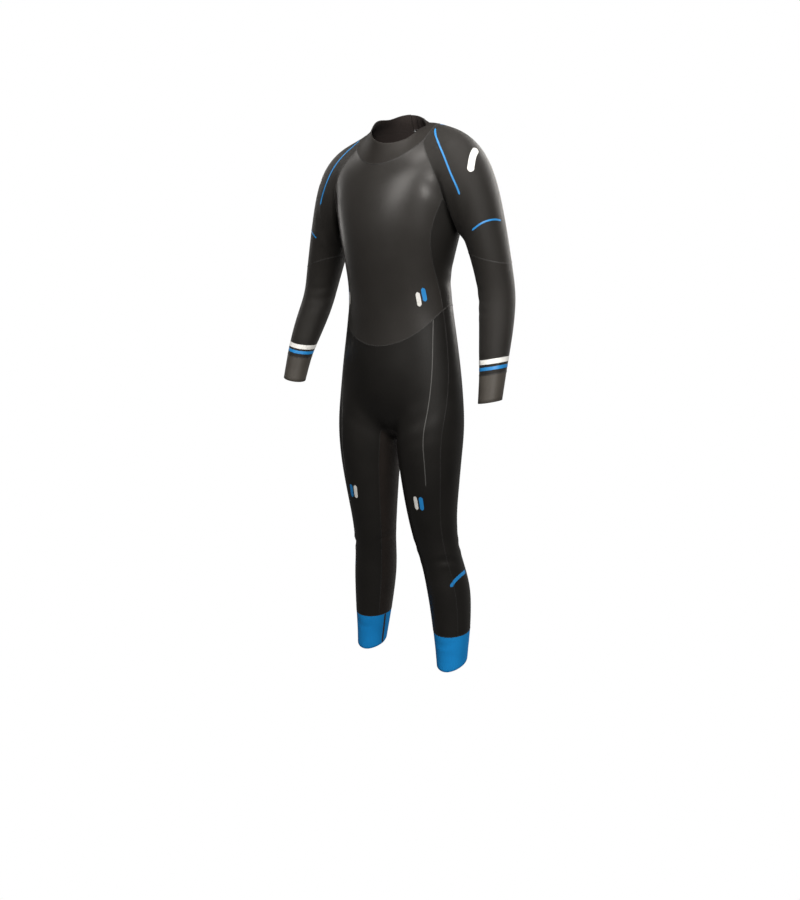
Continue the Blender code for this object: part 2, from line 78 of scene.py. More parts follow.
# The body's columns where its seams run, from the middle of the front round to the left, and its faces that the
# sleeves take the place of above the armpit.
FRONT_SEAM, SIDE, BACK_SEAM, BACK_MIDDLE = 3, 4, 5, 8
ARMHOLES = (FRONT_SEAM, SIDE, TORSO_POINTS - BACK_SEAM, TORSO_POINTS - SIDE)
BODY_COLUMNS = (
    "name half_width front back middle_y front_seam back_seam "
    "h_front h_front_seam h_side h_back_seam h_back lean"
).split()
BODY_SECTIONS = [
    ("hip", 0.171, 0.102, 0.118, 0.000, 72, 112, 0.860, 0.862, 0.866, 0.862, 0.855, 0),
    ("pelvis", 0.161, 0.103, 0.106, 0.000, 80, 116, 0.930, 0.962, 0.968, 0.962, 0.950, 0),
    ("belly", 0.138, 0.104, 0.084, 0.000, 82, 122, 0.990, 1.102, 1.106, 1.098, 1.070, 0),
    ("waist", 0.136, 0.103, 0.083, 0.000, 72, 124, 1.070, 1.155, 1.158, 1.152, 1.140, 0),
    ("rib", 0.149, 0.110, 0.094, 0.000, 57, 126, 1.150, 1.206, 1.192, 1.204, 1.205, 0),
    ("chest", 0.163, 0.119, 0.106, 0.000, 50, 124, 1.225, 1.278, 1.220, 1.262, 1.268, 0),
    ("armpit", 0.172, 0.121, 0.112, 0.000, 66, 117, 1.300, 1.364, 1.246, 1.336, 1.332, 0),
    ("yoke", 0.170, 0.112, 0.108, 0.000, 56, 130, 1.358, 1.402, 1.410, 1.398, 1.397, 0),
    ("base", 0.146, 0.100, 0.092, 0.000, 52, 134, 1.392, 1.434, 1.460, 1.452, 1.457, 0),
    ("neck", 0.096, 0.083, 0.078, -0.008, 64, 116, 1.414, 1.460, 1.500, 1.511, 1.508, 0),
    ("collar", 0.074, 0.075, 0.070, -0.007, 62, 118, 1.440, 1.473, 1.506, 1.512, 1.522, -0.13),
    ("rim", 0.063, 0.070, 0.067, -0.006, 60, 120, 1.464, 1.487, 1.514, 1.513, 1.537, -0.28),
]
SLEEVE_COLUMNS = "name inner_x inner_h outer_x outer_h middle_y half_depth".split()
SLEEVE_SECTIONS = [
    ("shoulder", 0.174, 1.246, 0.158, 1.484, 0.008, 0.074),
    ("deltoid", 0.180, 1.238, 0.228, 1.432, 0.012, 0.066),
    ("armscye", 0.186, 1.228, 0.267, 1.302, 0.015, 0.057),
    ("bicep", 0.189, 1.218, 0.295, 1.165, 0.017, 0.050),
    ("above_elbow", 0.208, 1.162, 0.302, 1.132, 0.018, 0.045),
    ("elbow", 0.222, 1.112, 0.307, 1.104, 0.014, 0.043),
    ("below_elbow", 0.230, 1.068, 0.312, 1.073, 0.003, 0.043),
    ("forearm", 0.240, 1.022, 0.317, 1.034, -0.013, 0.040),
    ("above_wrist", 0.249, 0.980, 0.319, 0.992, -0.029, 0.036),
    ("wrist", 0.258, 0.948, 0.320, 0.960, -0.041, 0.032),
    ("cuff_end", 0.266, 0.881, 0.321, 0.892, -0.060, 0.029),
]
LEG_COLUMNS = "name middle_x middle_y half_width half_depth h_front h_inner h_back h_outer".split()
LEG_SECTIONS = [
    ("groin", 0.090, 0.002, 0.081, 0.093, 0.778, 0.735, 0.768, 0.795),
    ("thigh", 0.0925, -0.001, 0.0750, 0.082, 0.706, 0.690, 0.700, 0.715),
    ("mid_thigh", 0.0920, 0.003, 0.0692, 0.0735, 0.640, 0.636, 0.638, 0.642),
    ("low_thigh", 0.0915, 0.009, 0.0615, 0.066, 0.575, 0.575, 0.575, 0.575),
    ("above_knee", 0.0935, 0.017, 0.0575, 0.060, 0.525, 0.525, 0.525, 0.525),
    ("knee", 0.099, 0.027, 0.0535, 0.056, 0.475, 0.475, 0.475, 0.475),
    ("below_knee", 0.107, 0.042, 0.0525, 0.057, 0.425, 0.425, 0.425, 0.425),
    ("calf", 0.116, 0.052, 0.0545, 0.060, 0.370, 0.370, 0.370, 0.370),
    ("low_calf", 0.1215, 0.056, 0.0520, 0.057, 0.315, 0.315, 0.315, 0.315),
    ("shin", 0.126, 0.056, 0.0470, 0.051, 0.240, 0.245, 0.252, 0.246),
    ("ankle", 0.128, 0.055, 0.0425, 0.046, 0.192, 0.202, 0.220, 0.204),
    ("hem", 0.130, 0.053, 0.0390, 0.043, 0.142, 0.160, 0.192, 0.164),
]
CROTCH_COLUMNS = "name y height half_width".split()
CROTCH_SECTIONS = [
    ("crotch_front", -0.050, 0.772, 0.020),
    ("crotch", 0.010, 0.752, 0.016),
    ("crotch_back", 0.066, 0.766, 0.020),
]

# The charts: where each one's columns start, and how wide a column is in metres of cloth.
CHARTS = {"body": 0, "sleeve_left": 100, "sleeve_right": 200, "leg_left": 300, "leg_right": 400, "crotch": 500}
COLUMN_CLOTH = {"body": 0.056, "sleeve": 0.032, "leg": 0.040, "crotch": 0.040}
CHART_REACH = 50

# Each panel's finish, wall, record slot, the panel that carries it, and its cut: width and length, and area.
PANELS = {
    "collar": ("collar_skin", 0.0020, "grey_skin", "front_body", (0.52, 0.10), 0.023),
    "front_body": ("smoothskin", 0.0035, "smoothskin", "collar", (0.42, 0.48), 0.133),
    "back_left": ("jersey", 0.0030, "jersey", "collar", (0.19, 0.46), 0.059),
    "back_right": ("jersey", 0.0030, "jersey", "collar", (0.19, 0.46), 0.059),
}
for _side in ("left", "right"):
    PANELS["side_panel_" + _side] = ("sideskin", 0.0030, "smoothskin", "sleeve_" + _side, (0.15, 0.27), 0.023)
    PANELS["sleeve_" + _side] = ("jersey", 0.0020, "jersey", "collar", (0.42, 0.40), 0.091)
    PANELS["forearm_" + _side] = ("jersey", 0.0020, "jersey", "sleeve_" + _side, (0.31, 0.29), 0.064)
    PANELS["wrist_cuff_" + _side] = ("grey_skin", 0.0018, "grey_skin", "forearm_" + _side, (0.185, 0.075), 0.012)
    # The legs' finishes are the body's smooth skin and jersey with darker colours: painted shade for the lower body,
    # which gets less light from above.
    PANELS["leg_front_" + _side] = ("legskin", 0.0030, "smoothskin", "front_body", (0.20, 0.86), 0.109)
    PANELS["leg_outer_" + _side] = ("legskin", 0.0030, "smoothskin", "side_panel_" + _side, (0.13, 0.86), 0.069)
    PANELS["leg_back_" + _side] = ("leg_jersey", 0.0030, "jersey", "back_" + _side, (0.20, 0.86), 0.110)
    PANELS["leg_inner_" + _side] = ("inner_jersey", 0.0030, "inner_jersey", "leg_front_" + _side, (0.15, 0.57), 0.045)
    PANELS["ankle_cuff_" + _side] = ("blue_skin", 0.0018, "blue_skin", "leg_back_" + _side, (0.30, 0.115), 0.024)
PANEL_NAMES = list(PANELS)


def add_object(name, data):
    item = bpy.data.objects.new(name, data)
    bpy.context.scene.collection.objects.link(item)
    return item


# ---- the cage and its fine surface


def blend(ends, values, at):
    """The value at one place on a line that runs straight between the given ends."""
    for (a, b), (u, v) in zip(zip(ends, ends[1:]), zip(values, values[1:])):
        if at <= b:
            return u + (v - u) * (at - a) / (b - a)
    return values[-1]


def ease(middle, seam, share):
    return middle + (seam - middle) * (1 - math.cos(math.pi / 2 * share))


def ring_gain(count):
    return 3 / (2 + math.cos(2 * math.pi / count))


def leaned(point):
    height = max(point.z + SHOULDER_HEIGHT, LEAN_HEIGHTS[0])
    return point + Vector((0, 0, point.x * blend(LEAN_HEIGHTS, LEANS, height)))


def rows(columns, sections):
    return [dict(zip(columns, section)) for section in sections]


BODY_ROWS, CROTCH_ROWS = rows(BODY_COLUMNS, BODY_SECTIONS), rows(CROTCH_COLUMNS, CROTCH_SECTIONS)
SLEEVE_ROWS, LEG_ROWS = rows(SLEEVE_COLUMNS, SLEEVE_SECTIONS), rows(LEG_COLUMNS, LEG_SECTIONS)


def body_ring(row):
    gain = ring_gain(TORSO_POINTS)
    stops = (0, FRONT_SEAM, SIDE, BACK_SEAM, BACK_MIDDLE)
    angles = (0, row["front_seam"], (row["front_seam"] + row["back_seam"]) / 2, row["back_seam"], 180)
    points = []
    for index in range(TORSO_POINTS):
        column = min(index, TORSO_POINTS - index)
        angle = math.radians(blend(stops, angles, column))
        depth = row["front"] if angle < math.pi / 2 else row["back"]
        across = row["half_width"] * math.sin(angle) * (1 if index <= BACK_MIDDLE else -1)
        if column <= FRONT_SEAM:
            height = ease(row["h_front"], row["h_front_seam"], column / FRONT_SEAM)
        elif column == SIDE:
            height = row["h_side"]
        else:
            share = (BACK_MIDDLE - column) / (BACK_MIDDLE - BACK_SEAM)
            height = ease(row["h_back"], row["h_back_seam"], share)
        height += row["lean"] * across
        y = row["middle_y"] - gain * depth * math.cos(angle)
        points.append(Vector((gain * across, y, height - SHOULDER_HEIGHT)))
    return points


def sleeve_ring(row, side):
    gain = ring_gain(LIMB_POINTS)
    inner = Vector((row["inner_x"], 0, row["inner_h"] - SHOULDER_HEIGHT))
    outer = Vector((row["outer_x"], 0, row["outer_h"] - SHOULDER_HEIGHT))
    middle = (inner + outer) / 2 + Vector((0, row["middle_y"], 0))
    points = []
    for index in range(LIMB_POINTS):
        angle = 2 * math.pi * index / LIMB_POINTS
        point = middle - (outer - inner) / 2 * gain * math.cos(angle)
        point.y -= gain * row["half_depth"] * math.sin(angle)
        point.x *= side
        points.append(point)
    return points


def leg_ring(row, side):
    gain = ring_gain(LIMB_POINTS)
    heights = (row["h_front"], row["h_outer"], row["h_back"], row["h_inner"], row["h_front"])
    points = []
    for index in range(LIMB_POINTS):
        turn = 360 / LIMB_POINTS * (index - 0.5) % 360
        x = row["middle_x"] + gain * row["half_width"] * math.sin(math.radians(turn))
        y = row["middle_y"] - gain * row["half_depth"] * math.cos(math.radians(turn))
        z = blend((0, 90, 180, 270, 360), heights, turn) - SHOULDER_HEIGHT
        points.append(Vector((side * x, y, z)))
    return points


def body_panel(level, index):
    left = index < BACK_MIDDLE
    side = "left" if left else "right"
    place = index if left else TORSO_POINTS - 1 - index
    if level in ("neck", "collar"):
        return "collar"
    lower = level in ("hip", "pelvis")
    if place < FRONT_SEAM:
        return "leg_front_" + side if lower else "front_body"
    if place < BACK_SEAM:
        return ("leg_outer_" if lower else "side_panel_") + side
    return ("leg_back_" if lower else "back_") + side


def leg_panel(level, index, side):
    if level in ("shin", "ankle"):
        return "ankle_cuff_" + side
    if index in (9, 0, 1):
        return "leg_front_" + side
    if index in (2, 3):
        return "leg_outer_" + side
    return ("leg_back_" if index in (4, 5, 6) else "leg_inner_") + side


def sleeve_panel(level, _, side):
    if level in ("raglan", "shoulder", "deltoid", "armscye"):
        return "sleeve_" + side
    return ("wrist_cuff_" if level == "wrist" else "forearm_") + side


LIMBS = [("sleeve_", SLEEVE_ROWS, sleeve_ring, sleeve_panel), ("leg_", LEG_ROWS, leg_ring, leg_panel)]


def build_cage():
    """The coarse cage. Each face has its panel as its material and its columns and rows as its UVs."""
    mesh = bmesh.new()
    place = mesh.loops.layers.uv.new("place")

    def add_ring(points, left_out=()):
        return [None if k in left_out else mesh.verts.new(leaned(p)) for k, p in enumerate(points)]

    def add_face(verts, panel, chart, k, row):
        face = mesh.faces.new(verts)
        face.material_index = PANEL_NAMES.index(panel)
        start = CHARTS[chart] + k
        corners = ((start, row), (start + 1, row), (start + 1, row + 1), (start, row + 1))
        for loop, corner in zip(face.loops, corners):
            loop[place].uv = corner

    body = {}
    for row in BODY_ROWS:
        cut = row["name"] in ("yoke", "base")  # these rings end at the sleeves
        body[row["name"]] = add_ring(body_ring(row), (SIDE, TORSO_POINTS - SIDE) if cut else ())
    names = list(body)
    for level, (low, high) in enumerate(zip(names, names[1:])):
        for k in range(TORSO_POINTS):
            n = (k + 1) % TORSO_POINTS
            if low not in ("armpit", "yoke", "base") or k not in ARMHOLES:
                corners = [body[low][k], body[low][n], body[high][n], body[high][k]]
                add_face(corners, body_panel(low, k), "body", k, level)

    crotch = {}
    for row in CROTCH_ROWS:
        for side in (-1, 0, 1):
            point = Vector((side * row["half_width"], row["y"], row["height"] - SHOULDER_HEIGHT))
            crotch[row["name"], side] = mesh.verts.new(point)

    for side, word in ((1, "left"), (-1, "right")):

        def on_body(level, column):
            return body[level][column if side == 1 else (TORSO_POINTS - column) % TORSO_POINTS]

        # The loops on the body that the limbs grow from.
        armhole = [on_body("armpit", SIDE)]
        armhole += [on_body(level, FRONT_SEAM) for level in ("armpit", "yoke", "base", "neck")]
        armhole += [on_body("neck", SIDE)]
        armhole += [on_body(level, BACK_SEAM) for level in ("neck", "base", "yoke", "armpit")]
        hip = [on_body("hip", k) for k in range(1, BACK_MIDDLE)]
        hip += [crotch[name, side] for name in ("crotch_back", "crotch", "crotch_front")]
        for (chart, limb_rows, ring_of, panel_of), last, level in zip(LIMBS, (armhole, hip), ("raglan", "hip")):
            for number, row in enumerate(limb_rows):
                ring = add_ring(ring_of(row, side))
                for k in range(LIMB_POINTS):
                    n = (k + 1) % LIMB_POINTS
                    corners = [last[k], last[n], ring[n], ring[k]]
                    add_face(corners, panel_of(level, k, word), chart + word, k, number)
                last, level = ring, row["name"]

        middle = [on_body("hip", 0), crotch["crotch_front", 0], crotch["crotch", 0]]
        middle += [crotch["crotch_back", 0], on_body("hip", BACK_MIDDLE)]
        outer = [on_body("hip", 1), crotch["crotch_front", side], crotch["crotch", side]]
        outer += [crotch["crotch_back", side], on_body("hip", BACK_MIDDLE - 1)]
        for k, panel in enumerate(("leg_front_", "leg_inner_", "leg_inner_", "leg_back_")):
            corners = [middle[k], outer[k], outer[k + 1], middle[k + 1]]
            add_face(corners, panel + word, "crotch", 2 * side, 2 * k)

    bmesh.ops.recalc_face_normals(mesh, faces=mesh.faces)
    return mesh


class Form:
    """The suit's fine outer surface as arrays, with a lookup from a chart's column and row to a point."""

    def __init__(self):
        data = bpy.data.meshes.new("suit_cage")
        cage = build_cage()
        cage.to_mesh(data)
        cage.free()
        for _ in PANEL_NAMES:
            data.materials.append(None)
        guide = add_object("suit_cage", data)
        subdivision = guide.modifiers.new("Smooth", "SUBSURF")
        subdivision.levels = subdivision.render_levels = SUBDIVISIONS
        subdivision.uv_smooth = "NONE"
        fine = guide.evaluated_get(bpy.context.evaluated_depsgraph_get()).to_mesh()
        self.points = self.read(fine.vertices, "co", 3)
        self.outward = self.read(fine.vertices, "normal", 3)
        self.faces = self.read(fine.loops, "vertex_index", 1, np.int32).reshape(-1, 4)
        self.panel = self.read(fine.polygons, "material_index", 1, np.int32)
        self.place = self.read(fine.uv_layers["place"].uv, "vector", 2).reshape(-1, 4, 2)
        bpy.data.objects.remove(guide)
        self.edge_faces = {}
        for index, face in enumerate(self.faces):
            for a, b in zip(face, np.roll(face, -1)):
                self.edge_faces.setdefault((min(a, b), max(a, b)), []).append(index)
        self.cells = {}
        for index, low in enumerate(np.round(self.place.min(1) * CELLS).astype(int)):
            self.cells[tuple(low)] = index

    @staticmethod
    def read(items, name, size, kind=np.float64):
        flat = np.empty(len(items) * size, np.float32 if kind == np.float64 else kind)
        items.foreach_get(name, flat)
        flat = flat.astype(kind)
        return flat.reshape(-1, size) if size > 1 else flat

    def settle(self):
        """Makes the search tree once the creases are in."""
        self.tree = BVHTree.FromPolygons(self.points.tolist(), self.faces.tolist())

    def at(self, chart, column, row):
        """The point and the outward direction at a place of a chart."""
        count = TORSO_POINTS if chart == "body" else LIMB_POINTS
        column = column % count + CHARTS[chart]
        cell = (math.floor(column * CELLS), math.floor(row * CELLS))
        if cell not in self.cells:  # on the far edge of the last row
            cell = (cell[0], cell[1] - 1)
        face = self.cells[cell]
        corners = self.place[face]
        low = corners.min(0)
        share = (np.array((column, row)) - low) * CELLS
        weights = np.where(corners > low + 0.5 / CELLS, share, 1 - share).prod(1)
        point = weights @ self.points[self.faces[face]]
        out = weights @ self.outward[self.faces[face]]
        return Vector(point), Vector(out).normalized()

    def line(self, chart, places):
        """The points and the outward directions at a row of places, each a column and a row of a chart."""
        found = [self.at(chart, column, row) for column, row in places]
        return [point for point, _ in found], [out for _, out in found]

    def on(self, point):
        """The nearest point of the surface."""
        return self.tree.find_nearest(point)[0]


def smooth_path(knots, samples):
    """Points along a smooth curve through the knots (Catmull-Rom)."""
    knots = [np.array(k, float) for k in knots]
    knots = [2 * knots[0] - knots[1], *knots, 2 * knots[-1] - knots[-2]]
    path = []
    for a, b, c, d in zip(knots, knots[1:], knots[2:], knots[3:]):
        bend, twist = 2 * a - 5 * b + 4 * c - d, 3 * b - a - 3 * c + d
        for t in np.arange(samples) / samples:
            path.append(0.5 * (2 * b + (c - a) * t + bend * t**2 + twist * t**3))
    return path + [knots[-2]]


def run_along(points):
    """How far along their line each of the points lies."""
    return np.insert(np.cumsum(np.linalg.norm(np.diff(points, axis=0), axis=1)), 0, 0)


def unit(vectors):
    return vectors / np.linalg.norm(vectors, axis=1)[:, None]


def unwrapped(knots, chart):
    """Knots whose columns run on past the chart's last column."""
    count = TORSO_POINTS if chart == "body" else LIMB_POINTS
    out = [list(knots[0])]
    for u, v in knots[1:]:
        while u - out[-1][0] > count / 2:
            u -= count
        while u - out[-1][0] < -count / 2:
            u += count
        out.append([u, v])
    return out


# ---- creases

# Soft troughs that the cloth has where it bends: depth, width and knots (column, row) on each kind of chart.
CREASES = {
    "body": [
        (0.0008, 0.014, [(3.2, 2.9), (4.0, 2.75), (5.2, 2.85)]),
        (0.0006, 0.012, [(3.6, 3.5), (4.4, 3.4), (5.5, 3.45)]),
        (0.0008, 0.014, [(12.9, 2.8), (12.1, 2.7), (10.9, 2.9)]),
        (0.0006, 0.012, [(12.5, 3.45), (11.6, 3.3), (10.6, 3.5)]),
        (0.0009, 0.013, [(2.1, 6.6), (2.6, 6.1), (2.9, 5.6)]),
        (0.0008, 0.013, [(13.8, 6.6), (13.4, 6.1), (13.1, 5.5)]),
        (0.0014, 0.013, [(5.9, 6.5), (5.5, 6.0), (5.1, 5.5)]),
        (0.0014, 0.013, [(10.2, 6.4), (10.6, 5.9), (10.9, 5.4)]),
        (0.0013, 0.012, [(5.2, 2.3), (6.2, 2.45), (7.2, 2.35)]),
        (0.0013, 0.012, [(10.8, 2.35), (9.8, 2.5), (8.8, 2.4)]),
        (0.0010, 0.012, [(5.6, 1.75), (6.5, 1.85), (7.4, 1.7)]),
        (0.0010, 0.012, [(10.3, 1.7), (9.5, 1.8), (8.6, 1.7)]),
    ],
    "sleeve": [
        # round the armpit, on the sleeve's front and back
        (0.0020, 0.011, [(2.6, 1.2), (1.7, 1.6), (0.8, 2.2)]),
        (0.0016, 0.009, [(2.9, 2.3), (1.9, 2.6), (0.9, 3.0)]),
        (0.0018, 0.011, [(7.3, 1.3), (8.3, 1.7), (9.2, 2.3)]),
        (0.0013, 0.009, [(7.0, 2.5), (8.1, 2.8), (9.1, 3.1)]),
        # inside the elbow, and over it
        (0.0011, 0.010, [(0.4, 5.5), (1.5, 5.75), (2.7, 5.6)]),
        (0.0014, 0.010, [(0.1, 6.1), (1.3, 6.25), (2.9, 6.05)]),
        (0.0009, 0.009, [(0.6, 6.7), (1.8, 6.75), (2.8, 6.55)]),
        (0.0010, 0.009, [(6.4, 5.9), (7.5, 5.75), (8.6, 5.9)]),
        (0.0010, 0.008, [(6.6, 6.5), (7.6, 6.6), (8.5, 6.45)]),
        (0.0008, 0.008, [(1.0, 9.0), (2.4, 9.12), (3.6, 8.95)]),
    ],
    "leg": [
        # groin
        (0.0010, 0.014, [(9.4, 0.95), (0.3, 0.6), (1.5, 0.25)]),
        (0.0007, 0.012, [(9.5, 1.4), (0.4, 1.15), (1.6, 0.95)]),
        (0.0022, 0.013, [(6.8, 1.0), (5.8, 1.0), (4.6, 0.85)]),
        (0.0012, 0.011, [(6.6, 1.5), (5.6, 1.5), (4.9, 1.4)]),
        # knee: behind it, and above it in front
        (0.0016, 0.010, [(3.9, 5.2), (5.0, 5.3), (6.3, 5.15)]),
        (0.0022, 0.010, [(3.7, 5.8), (5.0, 5.95), (6.5, 5.75)]),
        (0.0015, 0.009, [(4.1, 6.4), (5.2, 6.5), (6.2, 6.35)]),
        (0.0006, 0.013, [(9.3, 4.5), (0.4, 4.8), (1.6, 4.6)]),
        (0.0005, 0.012, [(9.4, 6.4), (0.5, 6.55), (1.5, 6.4)]),
        (0.0026, 0.009, [(1.0, 6.45), (1.9, 6.35), (2.8, 6.5)]),
        (0.0024, 0.009, [(7.6, 5.75), (8.4, 5.7), (9.2, 5.9)]),
        (0.0012, 0.009, [(7.8, 6.5), (8.5, 6.4), (9.1, 6.5)]),
        # calf and ankle
        (0.0009, 0.009, [(4.4, 8.7), (5.4, 8.8), (6.3, 8.65)]),
        (0.0009, 0.008, [(9.5, 10.4), (0.6, 10.5), (1.7, 10.35)]),
        (0.0010, 0.008, [(4.2, 10.6), (5.2, 10.45), (6.3, 10.6)]),
    ],
}
CREASE_SAMPLES = 10  # points from one knot to the next
CREASE_REACH = 4  # a crease moves nothing further from it than this many of its widths
RIGHT_SHIFT, RIGHT_LESS = 0.12, 0.15  # how much the right limb's creases differ from the left one's, in rows and depth
RIDGES, RIDGE_PLACE, RIDGE_WIDTH = (0.55, 0.30), 1.7, 0.8  # the swell beside a trough, in its depths and widths
CREASE_ENDS, CREASE_FADE = (0.03, 0.97), 0.7  # how a crease fades along its length
ZIP_CALM, ZIP_FOOT = 0.030, -0.42  # no crease nearer to the zip than this, down to a little below its end
DRIFT, DRIFT_SCALE = 0.0005, 9.0  # how far the cloth wanders from the smooth form, over a hand's width


def add_creases(form):
    """Moves the form's points in and out, where the cloth creases and where it only drifts a little."""
    shift, creases = np.zeros(len(form.points)), []
    for chart, troughs in CREASES.items():
        for depth, width, knots in troughs:
            for number, side in enumerate([""] if chart == "body" else ["_left", "_right"]):
                moved = [(u, v + RIGHT_SHIFT * number * math.sin(7 * u + v)) for u, v in knots]
                creases.append((chart + side, depth * (1 - RIGHT_LESS * number), width, moved))
    for chart, depth, width, knots in creases:
        line = np.array(form.line(chart, smooth_path(unwrapped(knots, chart), CREASE_SAMPLES))[0])
        low, high = line.min(0) - CREASE_REACH * width, line.max(0) + CREASE_REACH * width
        near = np.nonzero(np.all((form.points > low) & (form.points < high), axis=1))[0]
        apart = np.linalg.norm(form.points[near][:, None] - line[None], axis=2)
        nearest = apart.argmin(1)
        across = apart.min(1) / width
        run = np.sin(math.pi * np.clip(nearest / (len(line) - 1), *CREASE_ENDS)) ** CREASE_FADE
        tangent = np.gradient(line, axis=0)[nearest]
        side = np.einsum("ij,ij->i", np.cross(tangent, form.outward[near]), form.points[near] - line[nearest])
        ridge = np.where(side > 0, *RIDGES) * np.exp(-(((across - RIDGE_PLACE) / RIDGE_WIDTH) ** 2))
        shift[near] += depth * run * (ridge - np.exp(-(across**2)))
    for index, point in enumerate(form.points):
        shift[index] += DRIFT * noise.noise(Vector(point) * DRIFT_SCALE)
    back = (form.points[:, 1] > 0) & (form.points[:, 2] > ZIP_FOOT)
    calm = np.clip(np.abs(form.points[:, 0]) / ZIP_CALM - 0.5, 0, 1)
    calm = calm * calm * (3 - 2 * calm)
    shift *= np.where(back, calm, 1)
    form.points += form.outward * shift[:, None]


# ---- materials


class Surface:
    """A material's nodes. A value that goes into one is a number, a colour or another node's output."""

    def __init__(self, name):
        self.material = bpy.data.materials.new(name)
        self.material.use_nodes = True
        self.nodes, self.links = self.material.node_tree.nodes, self.material.node_tree.links
        self.place = self.nodes.new("ShaderNodeTexCoord").outputs["Object"]

    def feed(self, node, values):
        for name, value in values.items():
            socket = node.inputs[name if isinstance(name, int) else name.replace("_", " ")]
            if isinstance(value, bpy.types.NodeSocket):
                self.links.new(value, socket)
            else:
                socket.default_value = value

    def node(self, kind, output, **values):
        """The output of a new node. The values go by the names of its inputs, with _ for a space."""
        node = self.nodes.new("ShaderNode" + kind)
        self.feed(node, values)
        return node.outputs[output]

    def noise(self, scale, detail=2.0, roughness=0.5):
        return self.node("TexNoise", "Fac", Vector=self.place, Scale=scale, Detail=detail, Roughness=roughness)

    def spread(self, value, low=0, high=1, start=0.3, end=0.7):
        return self.node("MapRange", "Result", Value=value, From_Min=start, From_Max=end, To_Min=low, To_Max=high)

    def colour(self, share, dark, light):
        node = self.nodes.new("ShaderNodeMix")
        node.data_type = "RGBA"
        self.feed(node, {"A": (*dark, 1), "B": (*light, 1), "Factor": share})
        return node.outputs["Result"]

    def maths(self, operation, *values):
        node = self.nodes.new("ShaderNodeMath")
        node.operation = operation
        self.feed(node, dict(enumerate(values)))
        return node.outputs["Value"]

    def zigzag(self, across, along, width, height, steepness):
        """Waves along the cloth, in columns where they slant to one side and back."""
        lean = self.maths("PINGPONG", self.maths("MULTIPLY", across, 1 / width), 0.5)
        row = self.maths("MULTIPLY", along, 2 * math.pi / height)
        return self.maths("SINE", self.maths("MULTIPLY_ADD", lean, steepness, row))

    def finished(self, colour, roughness, height, relief, **others):
        """The material. height is its relief from 0 to 1, which is relief metres deep."""
        normal = self.node("Bump", "Normal", Height=height, Distance=relief)
        values = {"Base_Color": colour, "Roughness": roughness, "Normal": normal, **others}
        self.feed(self.nodes["Principled BSDF"], values)
        return self.material


def skin_material(name, dark, light, roughness, relief, specular):
    """Smooth-skin neoprene: a closed rubber face with fine pores, its sheen a little uneven."""
    surface = Surface(name)
    broad, fine = surface.noise(9.0), surface.noise(420.0, detail=3.0, roughness=0.6)
    pores = surface.node("TexVoronoi", "Distance", Vector=surface.place, Scale=900.0)
    colour = surface.colour(surface.spread(broad), dark, light)
    height = surface.maths("MULTIPLY_ADD", pores, 0.6, fine)
    return surface.finished(colour, surface.spread(broad, *roughness), height, relief, Specular_IOR_Level=specular)


WALE, COURSE = 0.0013, 0.0011  # the jersey's loops, across and along
JERSEY_RELIEF, JERSEY_SPECULAR, JERSEY_SHEEN = 0.00012, 0.22, 0.04


def jersey_material(name, dark, light, roughness):
    """Nylon jersey laminated on neoprene: a fine knit of V-shaped loops with a faint sheen."""
    surface = Surface(name)
    cloth = surface.nodes.new("ShaderNodeUVMap")
    cloth.uv_map = "cloth"
    split = surface.nodes.new("ShaderNodeSeparateXYZ")
    surface.feed(split, {"Vector": cloth.outputs["UV"]})
    across, along = split.outputs["X"], split.outputs["Y"]
    loops = surface.zigzag(across, along, WALE, COURSE, 7.0)
    column = surface.maths("MULTIPLY", across, 1 / WALE)
    rib = surface.maths("SINE", surface.maths("MULTIPLY", column, 4 * math.pi))
    knit = surface.maths("MULTIPLY_ADD", surface.maths("MULTIPLY_ADD", rib, -0.4, loops), 0.35, 0.5)
    broad = surface.noise(11.0, detail=4.0, roughness=0.6)
    share = surface.maths("MULTIPLY_ADD", knit, 0.5, surface.spread(broad, 0.0, 0.5))
    return surface.finished(
        surface.colour(share, dark, light),
        surface.spread(broad, *roughness),
        surface.maths("MULTIPLY_ADD", surface.noise(700.0, roughness=0.6), 0.4, knit),
        JERSEY_RELIEF,
        Sheen_Weight=JERSEY_SHEEN,
        Sheen_Roughness=0.5,
        Specular_IOR_Level=JERSEY_SPECULAR,
    )


FINE_RELIEF = 0.00005


def ink_material(name, colour, roughness):
    """A rubbery film, worn thin in places."""
    surface = Surface(name)
    broad = surface.noise(60.0, detail=4.0, roughness=0.65)
    worn = tuple(c * 0.80 for c in colour)
    colour = surface.colour(surface.spread(broad), worn, colour)
    roughness = surface.spread(broad, roughness + 0.1, roughness - 0.05)
    return surface.finished(colour, roughness, surface.noise(900.0), FINE_RELIEF)


def thread_material(name, colour):
    """Twisted thread."""
    surface = Surface(name)
    fine = surface.noise(2500.0)
    colour = surface.colour(surface.spread(fine), tuple(c * 0.6 for c in colour), colour)
    return surface.finished(colour, 0.7, fine, FINE_RELIEF, Sheen_Weight=0.2)


def tape_material(name, colour):
    """Woven zip tape: a fine herringbone across and along."""
    surface = Surface(name)
    split = surface.nodes.new("ShaderNodeSeparateXYZ")
    surface.feed(split, {"Vector": surface.place})
    weave = surface.zigzag(split.outputs["X"], split.outputs["Z"], 0.0022, 0.0008, 9.0)
    share = surface.maths("MULTIPLY_ADD", weave, 0.35, 0.5)
    height = surface.maths("MULTIPLY_ADD", surface.noise(1500.0), 0.3, share)
    colour = surface.colour(share, colour, tuple(c * 2.2 for c in colour))
    return surface.finished(colour, 0.8, height, 0.00015)


def metal_material(name, dark, bright):
    """Dark enamelled metal, rubbed bright along its edges."""
    surface = Surface(name)
    edge = surface.node("NewGeometry", "Pointiness")
    grit = surface.noise(900.0, detail=4.0, roughness=0.7)
    rub = surface.maths("MULTIPLY_ADD", grit, 0.10, edge)
    colour = surface.colour(surface.spread(rub, 0.0, 1.0, 0.58, 0.66), dark, bright)
    return surface.finished(colour, surface.spread(grit, 0.28, 0.46), grit, 0.00003, Metallic=0.9)


